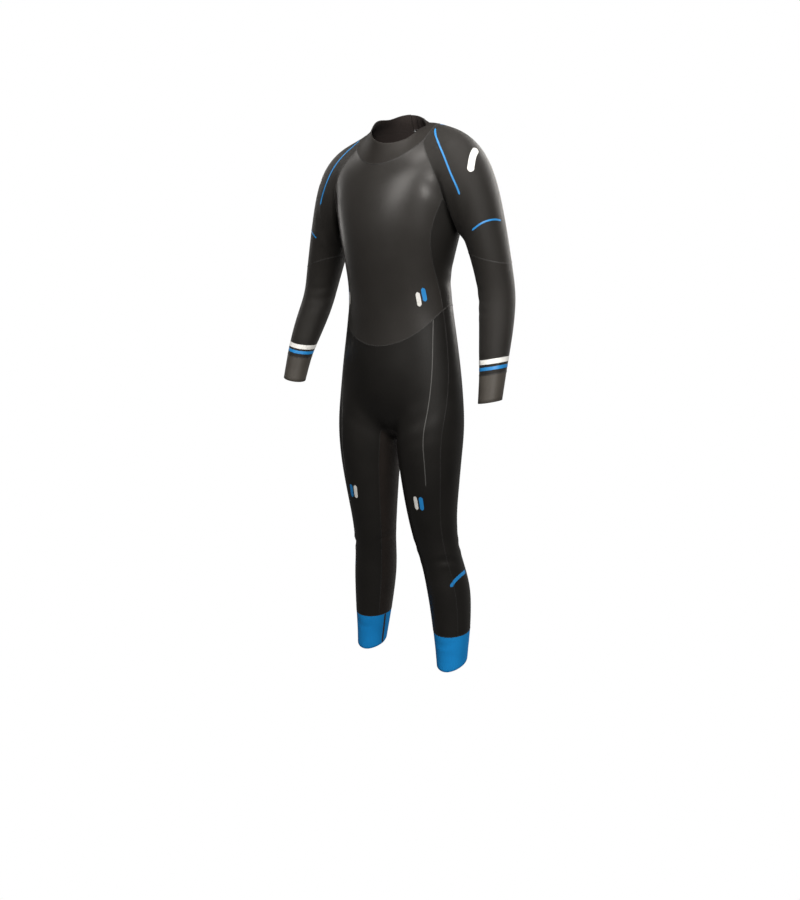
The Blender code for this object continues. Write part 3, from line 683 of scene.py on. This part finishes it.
# Each material's own values, in the order in which its kind takes them.
FINISHES = {
    skin_material: {
        "smoothskin": ((0.0160, 0.0146, 0.0132), (0.0205, 0.0187, 0.0170), (0.31, 0.38), 0.00006, 0.55),
        "sideskin": ((0.0080, 0.0074, 0.0066), (0.0104, 0.0096, 0.0086), (0.42, 0.50), 0.00006, 0.30),
        # The legs' smooth skin: the front's, with a darker base colour as painted shade on the legs.
        "legskin": ((0.0060, 0.0055, 0.0049), (0.0084, 0.0077, 0.0069), (0.38, 0.46), 0.00006, 0.32),
        "collar_skin": ((0.0115, 0.0099, 0.0086), (0.0160, 0.0140, 0.0122), (0.52, 0.62), 0.00010, 0.20),
        "grey_skin": ((0.0440, 0.0395, 0.0340), (0.0620, 0.0560, 0.0480), (0.48, 0.60), 0.00012, 0.30),
        "blue_skin": ((0.0050, 0.1650, 0.4400), (0.0080, 0.2200, 0.5700), (0.50, 0.60), 0.00010, 0.15),
    },
    jersey_material: {
        "jersey": ((0.0068, 0.0060, 0.0051), (0.0146, 0.0129, 0.0112), (0.54, 0.66)),
        # The legs' jersey: that of the sleeves and back, with a darker base colour as painted shade on the backs of the
        # legs.
        "leg_jersey": ((0.0024, 0.0018, 0.0015), (0.0070, 0.0053, 0.0044), (0.62, 0.74)),
        "inner_jersey": ((0.0055, 0.0038, 0.0030), (0.0140, 0.0100, 0.0080), (0.62, 0.74)),
        "lining": ((0.0180, 0.0135, 0.0125), (0.0310, 0.0240, 0.0220), (0.75, 0.85)),
    },
    ink_material: {
        "white_ink": ((0.72, 0.72, 0.70), 0.42),
        "blue_ink": ((0.012, 0.210, 0.540), 0.42),
        "grey_ink": ((0.070, 0.070, 0.068), 0.50),
        "seam_glue": ((0.0030, 0.0026, 0.0024), 0.55),
        "zip_teeth": ((0.030, 0.030, 0.031), 0.35),
    },
    thread_material: {"thread": ((0.075, 0.071, 0.066),), "dark_thread": ((0.012, 0.010, 0.009),)},
    tape_material: {"zip_tape": ((0.008, 0.008, 0.008),)},
    metal_material: {"zip_metal": ((0.035, 0.035, 0.037), (0.42, 0.41, 0.40))},
}


# ---- the panels


def add_piece(name, verts, faces, materials, slot=None, finish=None, angle=50, uvs=None):
    """A piece of the suit, from points and faces. finish gives each face's material number."""
    data = bpy.data.meshes.new(name)
    data.from_pydata([tuple(v) for v in verts], [], [tuple(f) for f in faces])
    for material in materials:
        data.materials.append(material)
    if finish is not None:
        data.polygons.foreach_set("material_index", np.asarray(finish, np.int32))
    if uvs is not None:
        layer = data.uv_layers.new(name="cloth")
        layer.uv.foreach_set("vector", np.asarray(uvs, np.float32).ravel())
    data.validate()
    data.shade_smooth()
    data.set_sharp_from_angle(angle=math.radians(angle))
    piece = add_object(name, data)
    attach(piece, BODY)
    return piece


ZIP_SLOT = 0.0180
HALF_COLUMN = 0.5  # the slot draws aside the points within this of the middle of the back
NEAR_ZERO = 1e-3
SEAM_INSET = 0.00015  # a panel's edge draws back this far from its seam
LIP = 0.35  # how far an open edge bulges, in shares of its wall
LIP_STEPS = 3
LIMB_START = 0.08  # cloth from the body to a limb's first ring
CROTCH_ROW, CROTCH_COUNT = 0.03, 9  # cloth along a row of the crotch's chart, and the lines between its rows


def row_lengths():
    """How far along the cloth each row of each kind of chart lies."""

    def sleeve_middle(row):
        return ((row["inner_x"] + row["outer_x"]) / 2, row["middle_y"], (row["inner_h"] + row["outer_h"]) / 2)

    lengths = {"crotch": np.arange(CROTCH_COUNT) * CROTCH_ROW}
    for kind, table, middle in (
        ("body", BODY_ROWS, lambda r: (0, 0, (r["h_front"] + r["h_back"]) / 2)),
        ("sleeve", SLEEVE_ROWS, sleeve_middle),
        ("leg", LEG_ROWS, lambda r: (r["middle_x"], r["middle_y"], r["h_outer"])),
    ):
        steps = np.diff(run_along(np.array([middle(r) for r in table], float)))
        lengths[kind] = np.insert(np.cumsum(steps if kind == "body" else [LIMB_START, *steps]), 0, 0)
    return lengths


def cloth_place(place, lengths):
    """Metres across and along the cloth, from columns and rows."""
    out = np.empty_like(place)
    for chart, start in CHARTS.items():
        kind = chart.split("_")[0]
        here = np.abs(place[:, 0] - start) < CHART_REACH
        out[here, 0] = place[here, 0] * COLUMN_CLOTH[kind]
        out[here, 1] = np.interp(place[here, 1], np.arange(len(lengths[kind])), lengths[kind])
    return out


def slot_place(form, column, row, left):
    """Where a point near the zip moves to, so that the panel's edge leaves the slot open."""
    side = 1 if left else -1
    near, far = form.line("body", ((BACK_MIDDLE, row), (BACK_MIDDLE - side * HALF_COLUMN, row)))[0]
    edge = ZIP_SLOT / 2 / (far - near).length * HALF_COLUMN
    apart = edge + abs(BACK_MIDDLE - column) * (HALF_COLUMN - edge) / HALF_COLUMN
    return form.at("body", BACK_MIDDLE - side * apart, row)


def panel_stretch(form, name, lengths):
    """A panel's points, each with the form's own, its place on the cloth and its outward direction, and its faces."""
    slotted = name in ("collar", "back_left", "back_right")
    numbers, own, faces, cloths = {}, [], [], []
    for face in np.nonzero(form.panel == PANEL_NAMES.index(name))[0]:
        place = form.place[face]
        cloths.append(cloth_place(place, lengths))
        left = place[:, 0].mean() < BACK_MIDDLE
        faces.append([])
        for vert, (column, row), spot in zip(form.faces[face], place, cloths[-1]):
            from_middle = abs(column - BACK_MIDDLE)
            # a point on the middle of the back is there twice, once for each edge of the slot
            key = (vert, left if slotted and from_middle < NEAR_ZERO else None)
            if key not in numbers:
                numbers[key] = len(own)
                if slotted and from_middle < HALF_COLUMN - NEAR_ZERO:
                    point, out = slot_place(form, column, row, left)
                else:
                    point, out = Vector(form.points[vert]), Vector(form.outward[vert])
                own.append((vert, spot, point, out))
            faces[-1].append(numbers[key])
    return *zip(*own), faces, cloths


def panel_piece(form, name, materials, lengths):
    """One panel as a closed thin wall: its stretch of the form outside, its lining inside, and its edge."""
    finish, wall, slot, carrier, flat, area = PANELS[name]
    source, cloth, points, outs, faces, cloths = panel_stretch(form, name, lengths)
    directed = {(a, b) for f in faces for a, b in zip(f, f[1:] + f[:1])}
    rim = sorted((a, b) for a, b in directed if (b, a) not in directed)
    inward, is_open = {}, {}
    for a, b in rim:
        edge_open = len(form.edge_faces[tuple(sorted((source[a], source[b])))]) == 1
        across = outs[a].cross(points[b] - points[a]).normalized()
        for vert in (a, b):
            inward[vert] = inward.get(vert, Vector()) + across
            is_open[vert] = is_open.get(vert, True) and edge_open
    verts = list(points)
    for vert, across in inward.items():
        across.normalize()
        if not is_open[vert]:
            verts[vert] = points[vert] + across * SEAM_INSET
    count = len(verts)
    verts += [v - out * wall for v, out in zip(verts, outs)]
    rim_rows = {vert: [vert] for vert in inward}
    for vert, across in inward.items():
        for step in range(1, LIP_STEPS):
            share = step / LIP_STEPS
            bulge = LIP * wall * math.sin(math.pi * share) if is_open[vert] else 0
            rim_rows[vert].append(len(verts))
            verts.append(verts[vert] - outs[vert] * wall * share - across * bulge)
        rim_rows[vert].append(vert + count)
    all_faces = faces + [[v + count for v in reversed(corners)] for corners in faces]
    uvs = [spot for here in cloths for spot in here] + [spot for here in cloths for spot in here[::-1]]
    for a, b in rim:
        for step in range(LIP_STEPS):
            high, low = rim_rows[a][step : step + 2], rim_rows[b][step : step + 2]
            all_faces.append([low[0], high[0], high[1], low[1]])
            uvs += [cloth[b], cloth[a], cloth[a], cloth[b]]
    finishes = [0] * len(faces) + [1] * len(faces) + [0] * (len(rim) * LIP_STEPS)
    both = [materials[finish], materials["lining"]]
    piece = add_piece(name + "_panel", verts, all_faces, both, slot, finishes, 50, uvs)
    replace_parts(piece, name)


# ---- bands and stitches


def resample(points, outs, step):
    """Points and outward directions at even steps along a line."""
    points, outs = np.array(points, float), np.array(outs, float)
    run = run_along(points)
    at = np.linspace(0, run[-1], max(2, round(run[-1] / step) + 1))
    points, outs = (np.stack([np.interp(at, run, values[:, k]) for k in range(3)], 1) for values in (points, outs))
    return points, unit(outs)


class Builder:
    """Gathers many small bodies into one piece."""

    def __init__(self):
        self.verts, self.faces = [], []

    def add(self, verts, faces):
        start = len(self.verts)
        self.verts += [tuple(v) for v in verts]
        self.faces += [[start + v for v in face] for face in faces]

    def piece(self, name, material, slot=None, angle=50):
        return add_piece(name, self.verts, self.faces, [material], slot, None, angle)


def between_loops(count, loop, closed=False):
    """The quads between loops of points that follow each other, each as the four numbers round it."""
    for k in range(count if closed else count - 1):
        n = (k + 1) % count
        for j in range(loop):
            m = (j + 1) % loop
            yield k * loop + j, k * loop + m, n * loop + m, n * loop + j


SINK = 0.0005  # how deep a band reaches into the cloth
ROUND_END = 0.2  # how wide a rounded band is at its very end, in shares of its width


def ribbon(form, builder, points, outs, half_width, top, *, closed=False, across=2, crown=0.0, rounded=False):
    """A thin band laid on the suit along a line. It stands top above the cloth at its edges, and crown more between."""
    points, outs = np.asarray(points), np.asarray(outs)
    if closed:
        ring = np.vstack([points[-1:], points, points[:1]])
        tangents = ring[2:] - ring[:-2]
    else:
        tangents = np.gradient(points, axis=0)
    sides = unit(np.cross(outs, unit(tangents)))
    run = run_along(points)
    verts = []
    for point, out, side, end in zip(points, outs, sides, np.minimum(run, run[-1] - run)):
        width = half_width
        if rounded and end < half_width:
            share = 1 - end / half_width
            width *= max(math.sqrt(1 - share * share), ROUND_END)
        upper, lower = [], []
        for place in np.arange(across + 1) * 2 / across - 1:
            spot = np.array(form.on(Vector(point + side * width * place)))
            upper.append(spot + out * (top + crown * (1 - place * place)))
            lower.append(spot - out * SINK)
        verts += upper + lower[::-1]
    count, loop = len(points), 2 * (across + 1)
    faces = [(a, d, c, b) for a, b, c, d in between_loops(count, loop, closed)]
    if not closed:
        faces += [range(loop), range(count * loop - 1, (count - 1) * loop - 1, -1)]
    builder.add(verts, faces)


STITCH_PITCH, STITCH_LENGTH, STITCH_RADIUS = 0.0044, 0.0040, 0.00026
STITCH_SHAPE = ((0, -1.2), (0.28, 0.6), (0.5, 0.9), (0.72, 0.6), (1, -1.2))  # shares of its length, heights in radii


def stitch(builder, start, end, out):
    """One stitch: a short thread that dips into the cloth at both ends."""
    side = np.cross((end - start) / np.linalg.norm(end - start), out)
    verts = []
    for share, height in STITCH_SHAPE:
        point = start * (1 - share) + end * share + out * STITCH_RADIUS * height
        verts += [point + way * STITCH_RADIUS for way in (side, out, -side, -out)]
    last = len(verts) - 4
    builder.add(verts, [*between_loops(len(STITCH_SHAPE), 4), (3, 2, 1, 0), range(last, last + 4)])


def stitch_row(builder, points, outs, pitch=STITCH_PITCH, length=STITCH_LENGTH, slant=0.0):
    """Stitches along a line, each turned by slant (radians) away from it."""
    points, outs = resample(points, outs, pitch)
    for point, out, tangent in zip(points, outs, unit(np.gradient(points, axis=0))):
        side = np.cross(out, tangent)
        reach = (tangent * math.cos(slant) + side * math.sin(slant)) * length / 2
        stitch(builder, point - reach, point + reach, out)


# ---- seams


def seam_kind(pair):
    """How the seam between two panels is finished: flush, or with dark or light thread."""
    if pair == {"leg_front_left", "leg_front_right"}:
        return "flush"
    return "dark" if all(name.startswith(("leg", "ankle")) for name in pair) else "light"


def seam_chains(form):
    """Runs of seam: each a list of the form's points, closed if its first is its last, and its kind."""
    seams = {}
    for (a, b), users in form.edge_faces.items():
        if len(users) < 2:
            continue
        pair = {PANEL_NAMES[form.panel[f]] for f in users}
        if len(pair) == 2 and pair != {"back_left", "back_right"}:
            seams.setdefault(a, {})[b] = seams.setdefault(b, {})[a] = seam_kind(pair)
    ends = sorted(v for v, others in seams.items() if len(others) != 2)
    used, chains = set(), []

    def walk(start, onward):
        chain, kind = [start], seams[start][onward]
        last, here = start, onward
        used.add(frozenset((start, onward)))
        while True:
            chain.append(here)
            others = [v for v in sorted(seams[here]) if v != last]
            if here == start or len(seams[here]) != 2:
                return chain, kind
            used.add(frozenset((here, others[0])))
            last, here = here, others[0]

    for start in ends + sorted(seams):
        for onward in sorted(seams[start]):
            if frozenset((start, onward)) not in used:
                chains.append(walk(start, onward))
    return chains


BEAD_HALF_WIDTH, BEAD_EDGE, BEAD_HEIGHT = 0.0012, 0.00008, 0.00022
SEAM_SLANT = 0.75


def add_seams(form, materials):
    """A glued bead with slanting stitches over each seam, and only a flush joint down the middle of the hips."""
    beads, joints = Builder(), Builder()
    stitches = {"light": Builder(), "dark": Builder()}
    for chain, kind in seam_chains(form):
        points, outs = form.points[chain], form.outward[chain]
        if kind == "flush":
            ribbon(form, joints, points, outs, BEAD_HALF_WIDTH, BEAD_EDGE)
            continue
        closed = chain[0] == chain[-1]
        trim = slice(0, -1) if closed else slice(None)
        ribbon(form, beads, points[trim], outs[trim], BEAD_HALF_WIDTH, BEAD_EDGE, closed=closed, crown=BEAD_HEIGHT)
        stitch_row(stitches[kind], points + outs * BEAD_HEIGHT, outs, slant=SEAM_SLANT)
    beads.piece("seam_glue", materials["seam_glue"])
    joints.piece("flush_seam", materials["legskin"])
    stitches["light"].piece("seam_stitches", materials["thread"])
    stitches["dark"].piece("leg_seam_stitches", materials["dark_thread"])


# ---- prints and tapes

# Printed lines and bars, the same on both sides of the suit: ink, half width, whether it goes round, and its knots as
# (column, row). The body's are those of its left half.
LIMB_PRINTS = [
    ("sleeve", "blue_ink", 0.0020, False, [(4.72, 0.16), (4.15, 0.45), (3.5, 0.8), (2.95, 1.3), (2.6, 1.95)]),
    ("sleeve", "blue_ink", 0.0020, False, [(5.28, 0.16), (5.85, 0.45), (6.5, 0.8), (7.05, 1.3), (7.4, 1.95)]),
    ("sleeve", "white_ink", 0.0080, False, [(3.65, 2.04), (4.2, 1.88), (4.75, 1.80)]),
    ("sleeve", "blue_ink", 0.0020, False, [(2.5, 3.10), (3.3, 3.10), (4.1, 3.13), (4.9, 3.18)]),
    ("sleeve", "white_ink", 0.0056, True, [(0, 9.33)]),
    ("sleeve", "blue_ink", 0.0038, True, [(0, 9.71)]),
    ("leg", "white_ink", 0.0052, False, [(0.50, 3.14), (0.53, 3.42), (0.55, 3.70)]),
    ("leg", "blue_ink", 0.0052, False, [(0.86, 3.14), (0.89, 3.42), (0.91, 3.70)]),
    ("leg", "blue_ink", 0.0047, False, [(1.75, 7.72), (2.25, 7.42), (2.9, 7.25), (3.6, 7.22)]),
    ("leg", "zip_tape", 0.0033, False, [(8.35, 10.03), (8.32, 11.0), (8.3, 11.93)]),
]
BODY_PRINTS = [
    ("white_ink", 0.0052, [(1.98, 2.66), (1.99, 2.90), (2.00, 3.14)]),
    ("blue_ink", 0.0052, [(2.24, 2.66), (2.25, 2.90), (2.26, 3.14)]),
]
# A thin grey line down the hip and the thigh, begun on the body and carried on down the leg.
HIP_LINE = [(2.42, 2.0), (2.24, 1.4), (2.13, 0.7), (2.1, 0.1)]
THIGH_LINE = [(1.1, 0.1), (1.12, 0.9), (1.2, 1.8), (1.22, 2.7)]
GREY_LINE_HALF_WIDTH = 0.0011
PRINT_TOP, PRINT_CROWN, PRINT_STEP = 0.00022, 0.00008, 0.0035
PRINT_SAMPLES, BAND_POINTS = 16, 90


def chart_line(form, chart, knots):
    return form.line(chart, smooth_path(unwrapped(knots, chart), PRINT_SAMPLES))


def lay_print(form, builder, points, outs, half_width, closed=False):
    if not closed:
        points, outs = resample(points, outs, PRINT_STEP)
    shape = {"closed": closed, "across": 4, "crown": PRINT_CROWN, "rounded": not closed}
    ribbon(form, builder, points, outs, half_width, PRINT_TOP, **shape)


def add_prints(form, materials):
    inks = {}
    for kind, ink, half_width, closed, knots in LIMB_PRINTS:
        builder = inks.setdefault(ink, Builder())
        for side in ("_left", "_right"):
            if closed:
                turns = np.arange(BAND_POINTS) / BAND_POINTS * LIMB_POINTS
                points, outs = form.line(kind + side, [(turn, knots[0][1]) for turn in turns])
            else:
                points, outs = chart_line(form, kind + side, knots)
            lay_print(form, builder, points, outs, half_width, closed)
    for side in ("_left", "_right"):

        def body_line(knots):
            return chart_line(form, "body", [(u if side == "_left" else TORSO_POINTS - u, v) for u, v in knots])

        for ink, half_width, knots in BODY_PRINTS:
            lay_print(form, inks[ink], *body_line(knots), half_width)
        points, outs = body_line(HIP_LINE)
        more, more_outs = chart_line(form, "leg" + side, THIGH_LINE)
        builder = inks.setdefault("grey_ink", Builder())
        lay_print(form, builder, points + more, outs + more_outs, GREY_LINE_HALF_WIDTH)
    names = {"zip_tape": "ankle_tapes"}
    for ink, builder in inks.items():
        builder.piece(names.get(ink, ink.replace("ink", "prints")), materials[ink])


# ---- the back zip and the collar's flap

ZIP_ROWS = (2, 9)  # the chain runs between these rows of the body
ZIP_SAMPLES = 130
ZIP_END = 0.0015  # the teeth stop this far short of its ends
TOOTH_PITCH = 0.0016
TOOTH_REACH = (-0.0004, 0.0022)  # from the middle of the chain to a tooth's head and to its foot
# A tooth from its foot up, its top rounded off: depth, half its thickness in pitches, and shares of its reach.
TOOTH_RINGS = [(-0.0034, 0.30, 0.0, 1.0), (-0.0016, 0.34, 0.0, 1.0), (-0.0010, 0.22, 0.14, 0.86)]
TOOTH_NECK = 0.8  # a tooth's thickness in the middle of the chain, in shares of that at its foot
TAPE_PROFILE = [(0.0026, -0.0019), (0.0031, -0.0014), (0.0037, -0.0018), (0.0042, -0.0022), (0.0087, -0.0022)]
TAPE_WALL = 0.0008
TAPE_STEP = 4  # in half teeth
SLOT_STITCH = 0.0122  # from the middle to the stitches along the slot
SLOT_STITCH_LENGTH = 0.0032
SLOT_STITCH_SHORT, SLOT_STITCH_SAMPLES = 0.03, 160  # how many rows they stop short of its ends


def zip_line(form):
    rows_down = np.linspace(ZIP_ROWS[1], ZIP_ROWS[0], ZIP_SAMPLES)
    points, outs = resample(*form.line("body", [(BACK_MIDDLE, row) for row in rows_down]), TOOTH_PITCH / 2)
    run = np.arange(len(points)) * TOOTH_PITCH / 2
    kept = (run > ZIP_END) & (run < run[-1] - ZIP_END)
    return points[kept], outs[kept]


def add_zip(form, materials):
    """The teeth, the tapes that they sit on, and the stitches along both edges of the slot."""
    points, outs = zip_line(form)
    teeth = Builder()
    for k, (point, out, tangent) in enumerate(zip(points, outs, unit(np.gradient(points, axis=0)))):
        side = np.array((1.0 if k % 2 else -1.0, 0, 0))
        verts = []
        for depth, half, near, far in TOOTH_RINGS:
            for share, way in ((near, TOOTH_NECK), (near, -TOOTH_NECK), (far, -1), (far, 1)):
                across = TOOTH_REACH[0] + (TOOTH_REACH[1] - TOOTH_REACH[0]) * share
                verts.append(point + side * across + tangent * way * half * TOOTH_PITCH + out * depth)
        faces = [(3, 2, 1, 0), (8, 9, 10, 11), *between_loops(len(TOOTH_RINGS), 4)]
        teeth.add(verts, faces if k % 2 else [f[::-1] for f in faces])
    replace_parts(teeth.piece("zip_chain_teeth", materials["zip_teeth"], "zip_teeth", 30), "zip_chain")

    points, outs = points[::TAPE_STEP], outs[::TAPE_STEP]
    loop = TAPE_PROFILE + [(x, z - TAPE_WALL) for x, z in reversed(TAPE_PROFILE)]
    count = len(loop)
    faces = [range(count), range(len(points) * count - 1, (len(points) - 1) * count - 1, -1)]
    faces += [(b, a, d, c) for a, b, c, d in between_loops(len(points), count)]
    for word, way in (("left", 1), ("right", -1)):
        tape = Builder()
        verts = [point + np.array((way * x, 0, 0)) + out * z for point, out in zip(points, outs) for x, z in loop]
        tape.add(verts, faces if way < 0 else [f[::-1] for f in faces])
        name = "zip_tape_" + word
        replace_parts(tape.piece(name + "_weave", materials["zip_tape"], "zip_tape", 40), name)

    stitches = Builder()
    for side in (HALF_COLUMN, -HALF_COLUMN):
        places = []
        ends = ZIP_ROWS[0] + SLOT_STITCH_SHORT, ZIP_ROWS[1] - SLOT_STITCH_SHORT
        for row in np.linspace(*ends, SLOT_STITCH_SAMPLES):
            middle, beside = form.line("body", ((BACK_MIDDLE, row), (BACK_MIDDLE - side, row)))[0]
            places.append((BACK_MIDDLE - side * SLOT_STITCH / (beside - middle).length, row))
        stitch_row(stitches, *form.line("body", places), length=SLOT_STITCH_LENGTH)
    stitches.piece("zip_stitches", materials["thread"])


TAB_LIFT, TAB_WALL = 0.0011, 0.0020
TAB_COLUMNS, TAB_ROWS = (6.5, 9.5), (9.03, 10.97)
TAB_GRID = (28, 16)
TAB_CORNER, TAB_CORNER_POWER = 0.07, 8  # how far its sides draw in at the corners, and how late
TAB_SOFT_EDGE, TAB_EDGE_POWER = 0.0008, 14  # how much thinner it is at its edge, and how late that starts
TAB_STITCHES = (0.93, 0.86)  # where its stitches run, in shares of its half width and half height
TAB_STITCH_PITCH, TAB_STITCH_LENGTH, TAB_STITCH_SAMPLES = 0.00352, 0.0028, 121


def add_collar_tab(form, materials):
    """The flap over the collar's opening: a padded sheet with soft edges, stitched down all round."""
    wide, high = TAB_GRID

    def spot(s, t, lift):
        u = BACK_MIDDLE + (TAB_COLUMNS[1] - TAB_COLUMNS[0]) / 2 * s * (1 - TAB_CORNER * t**TAB_CORNER_POWER)
        v = sum(TAB_ROWS) / 2 + (TAB_ROWS[1] - TAB_ROWS[0]) / 2 * t * (1 - TAB_CORNER * s**TAB_CORNER_POWER)
        point, out = form.at("body", u, v)
        return point + out * lift, out

    verts = []
    for top in (True, False):
        for j in range(high + 1):
            for i in range(wide + 1):
                s, t = 2 * i / wide - 1, 2 * j / high - 1
                edge = max(abs(s), abs(t)) ** TAB_EDGE_POWER
                verts.append(spot(s, t, TAB_LIFT + (TAB_WALL - TAB_SOFT_EDGE * edge if top else 0))[0])
    count = (wide + 1) * (high + 1)
    faces = []
    for j in range(high):
        for i in range(wide):
            a = j * (wide + 1) + i
            quad = [a, a + 1, a + wide + 2, a + wide + 1]
            faces += [quad, [count + v for v in reversed(quad)]]
    grid = np.arange(count).reshape(high + 1, wide + 1)
    rim = [*grid[0], *grid[1:, -1], *grid[-1, -2::-1], *grid[-2:0:-1, 0]]
    faces += [[b, a, count + a, count + b] for a, b in zip(rim, rim[1:] + rim[:1])]
    under = [f[0] >= count for f in faces]
    both = [materials["collar_skin"], materials["lining"]]
    piece = add_piece("collar_tab_flap", verts, faces, both, "grey_skin", under)
    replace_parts(piece, "collar_tab")

    stitches, ring = Builder(), []
    for angle in np.linspace(0, 2 * math.pi, TAB_STITCH_SAMPLES):
        s, t = math.cos(angle), math.sin(angle)
        reach = max(abs(s), abs(t))
        ring.append(spot(s / reach * TAB_STITCHES[0], t / reach * TAB_STITCHES[1], TAB_LIFT + TAB_WALL))
    line, outs = zip(*ring)
    stitch_row(stitches, line, outs, TAB_STITCH_PITCH, TAB_STITCH_LENGTH)
    stitches.piece("collar_tab_stitches", materials["thread"])


# ---- stage, light and camera

CAMERA_PLACE = (1.434, -2.048, -0.160)
CAMERA_AZIMUTH, CAMERA_PITCH = 35.0, 13.007
FOCAL_PIXELS, LONG_SIDE_PIXELS = 1013.0, 900.0
SENSOR = 36.0
WORLD_LIGHT = 0.11
FLOOR_COLOUR, FLOOR_ROUGHNESS, FLOOR_REACH = (0.06, 0.06, 0.06), 0.8, 6.0
LIGHT_COLOUR = (1.0, 0.965, 0.925)
MIDDLE = (0, 0, -0.45)  # the lights point here
# Each light's place, size and power.
LIGHTS = [
    ("key", (2.4, -2.1, 1.5), (1.4, 2.0), 150),
    ("fill", (-0.3, -3.0, 1.2), (1.4, 1.8), 38),
    ("top", (0.3, -0.6, 2.1), (1.8, 1.2), 64),
    ("back", (0.5, 2.7, 0.8), (1.6, 2.2), 115),
    ("back_side", (-2.6, 0.7, 0.5), (0.7, 2.2), 12),
]


def add_camera():
    camera = add_object("camera", bpy.data.cameras.new("camera"))
    camera.data.sensor_width = SENSOR
    camera.data.lens = SENSOR * FOCAL_PIXELS / LONG_SIDE_PIXELS
    camera.location = CAMERA_PLACE
    camera.rotation_euler = (math.radians(90 - CAMERA_PITCH), 0, math.radians(CAMERA_AZIMUTH))
    bpy.context.scene.camera = camera


def add_light(name, place, size, power):
    light = add_object(name, bpy.data.lights.new(name, "AREA"))
    light.data.shape = "RECTANGLE"
    light.data.size, light.data.size_y = size
    light.data.energy = power
    light.data.color = LIGHT_COLOUR
    light.location = place
    light.rotation_euler = (Vector(MIDDLE) - Vector(place)).to_track_quat("-Z", "Y").to_euler()


def white_seen(tree, lit, output):
    """Full white to the camera, and the given light or surface to everything else."""
    nodes, links = tree.nodes, tree.links
    white = nodes.new("ShaderNodeEmission")
    white.inputs["Color"].default_value = (1, 1, 1, 1)
    mix = nodes.new("ShaderNodeMixShader")
    links.new(nodes.new("ShaderNodeLightPath").outputs["Is Camera Ray"], mix.inputs["Fac"])
    links.new(lit, mix.inputs[1])
    links.new(white.outputs["Emission"], mix.inputs[2])
    links.new(mix.outputs["Shader"], nodes[output].inputs["Surface"])


def add_studio():
    """A surrounding that lights the suit softly, and a dark floor that it stands over. The camera sees both white."""
    world = bpy.data.worlds.new("studio")
    bpy.context.scene.world = world
    world.use_nodes = True
    around = world.node_tree.nodes["Background"]
    around.inputs["Color"].default_value = (1, 1, 1, 1)
    around.inputs["Strength"].default_value = WORLD_LIGHT
    white_seen(world.node_tree, around.outputs["Background"], "World Output")
    bpy.context.scene.view_settings.view_transform = "Standard"

    material = bpy.data.materials.new("pale_floor")
    material.use_nodes = True
    shader = material.node_tree.nodes["Principled BSDF"]
    shader.inputs["Base Color"].default_value = (*FLOOR_COLOUR, 1)
    shader.inputs["Roughness"].default_value = FLOOR_ROUGHNESS
    white_seen(material.node_tree, shader.outputs["BSDF"], "Material Output")
    corners = [(x * FLOOR_REACH, y * FLOOR_REACH, -SHOULDER_HEIGHT) for x, y in ((-1, -1), (1, -1), (1, 1), (-1, 1))]
    data = bpy.data.meshes.new("floor")
    data.from_pydata(corners, [], [(0, 1, 2, 3)])
    data.materials.append(material)
    floor = add_object("floor", data)
    floor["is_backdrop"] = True


def main():
    add_camera()
    add_studio()
    for light in LIGHTS:
        add_light(*light)
    kinds = FINISHES.items()
    materials = {name: make(name, *values) for make, finishes in kinds for name, values in finishes.items()}
    form = Form()
    add_creases(form)
    form.settle()
    lengths = row_lengths()
    for name in PANEL_NAMES:
        panel_piece(form, name, materials, lengths)
    add_seams(form, materials)
    add_prints(form, materials)
    add_zip(form, materials)
    add_collar_tab(form, materials)
    for name in ("zip_slider", "zip_pull"):
        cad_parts[name].data.materials[0] = materials["zip_metal"]
    {name: [list(corner) for corner in box] for name, box in (("cad", CAD_BOX), ("visual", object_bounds()))}


main()
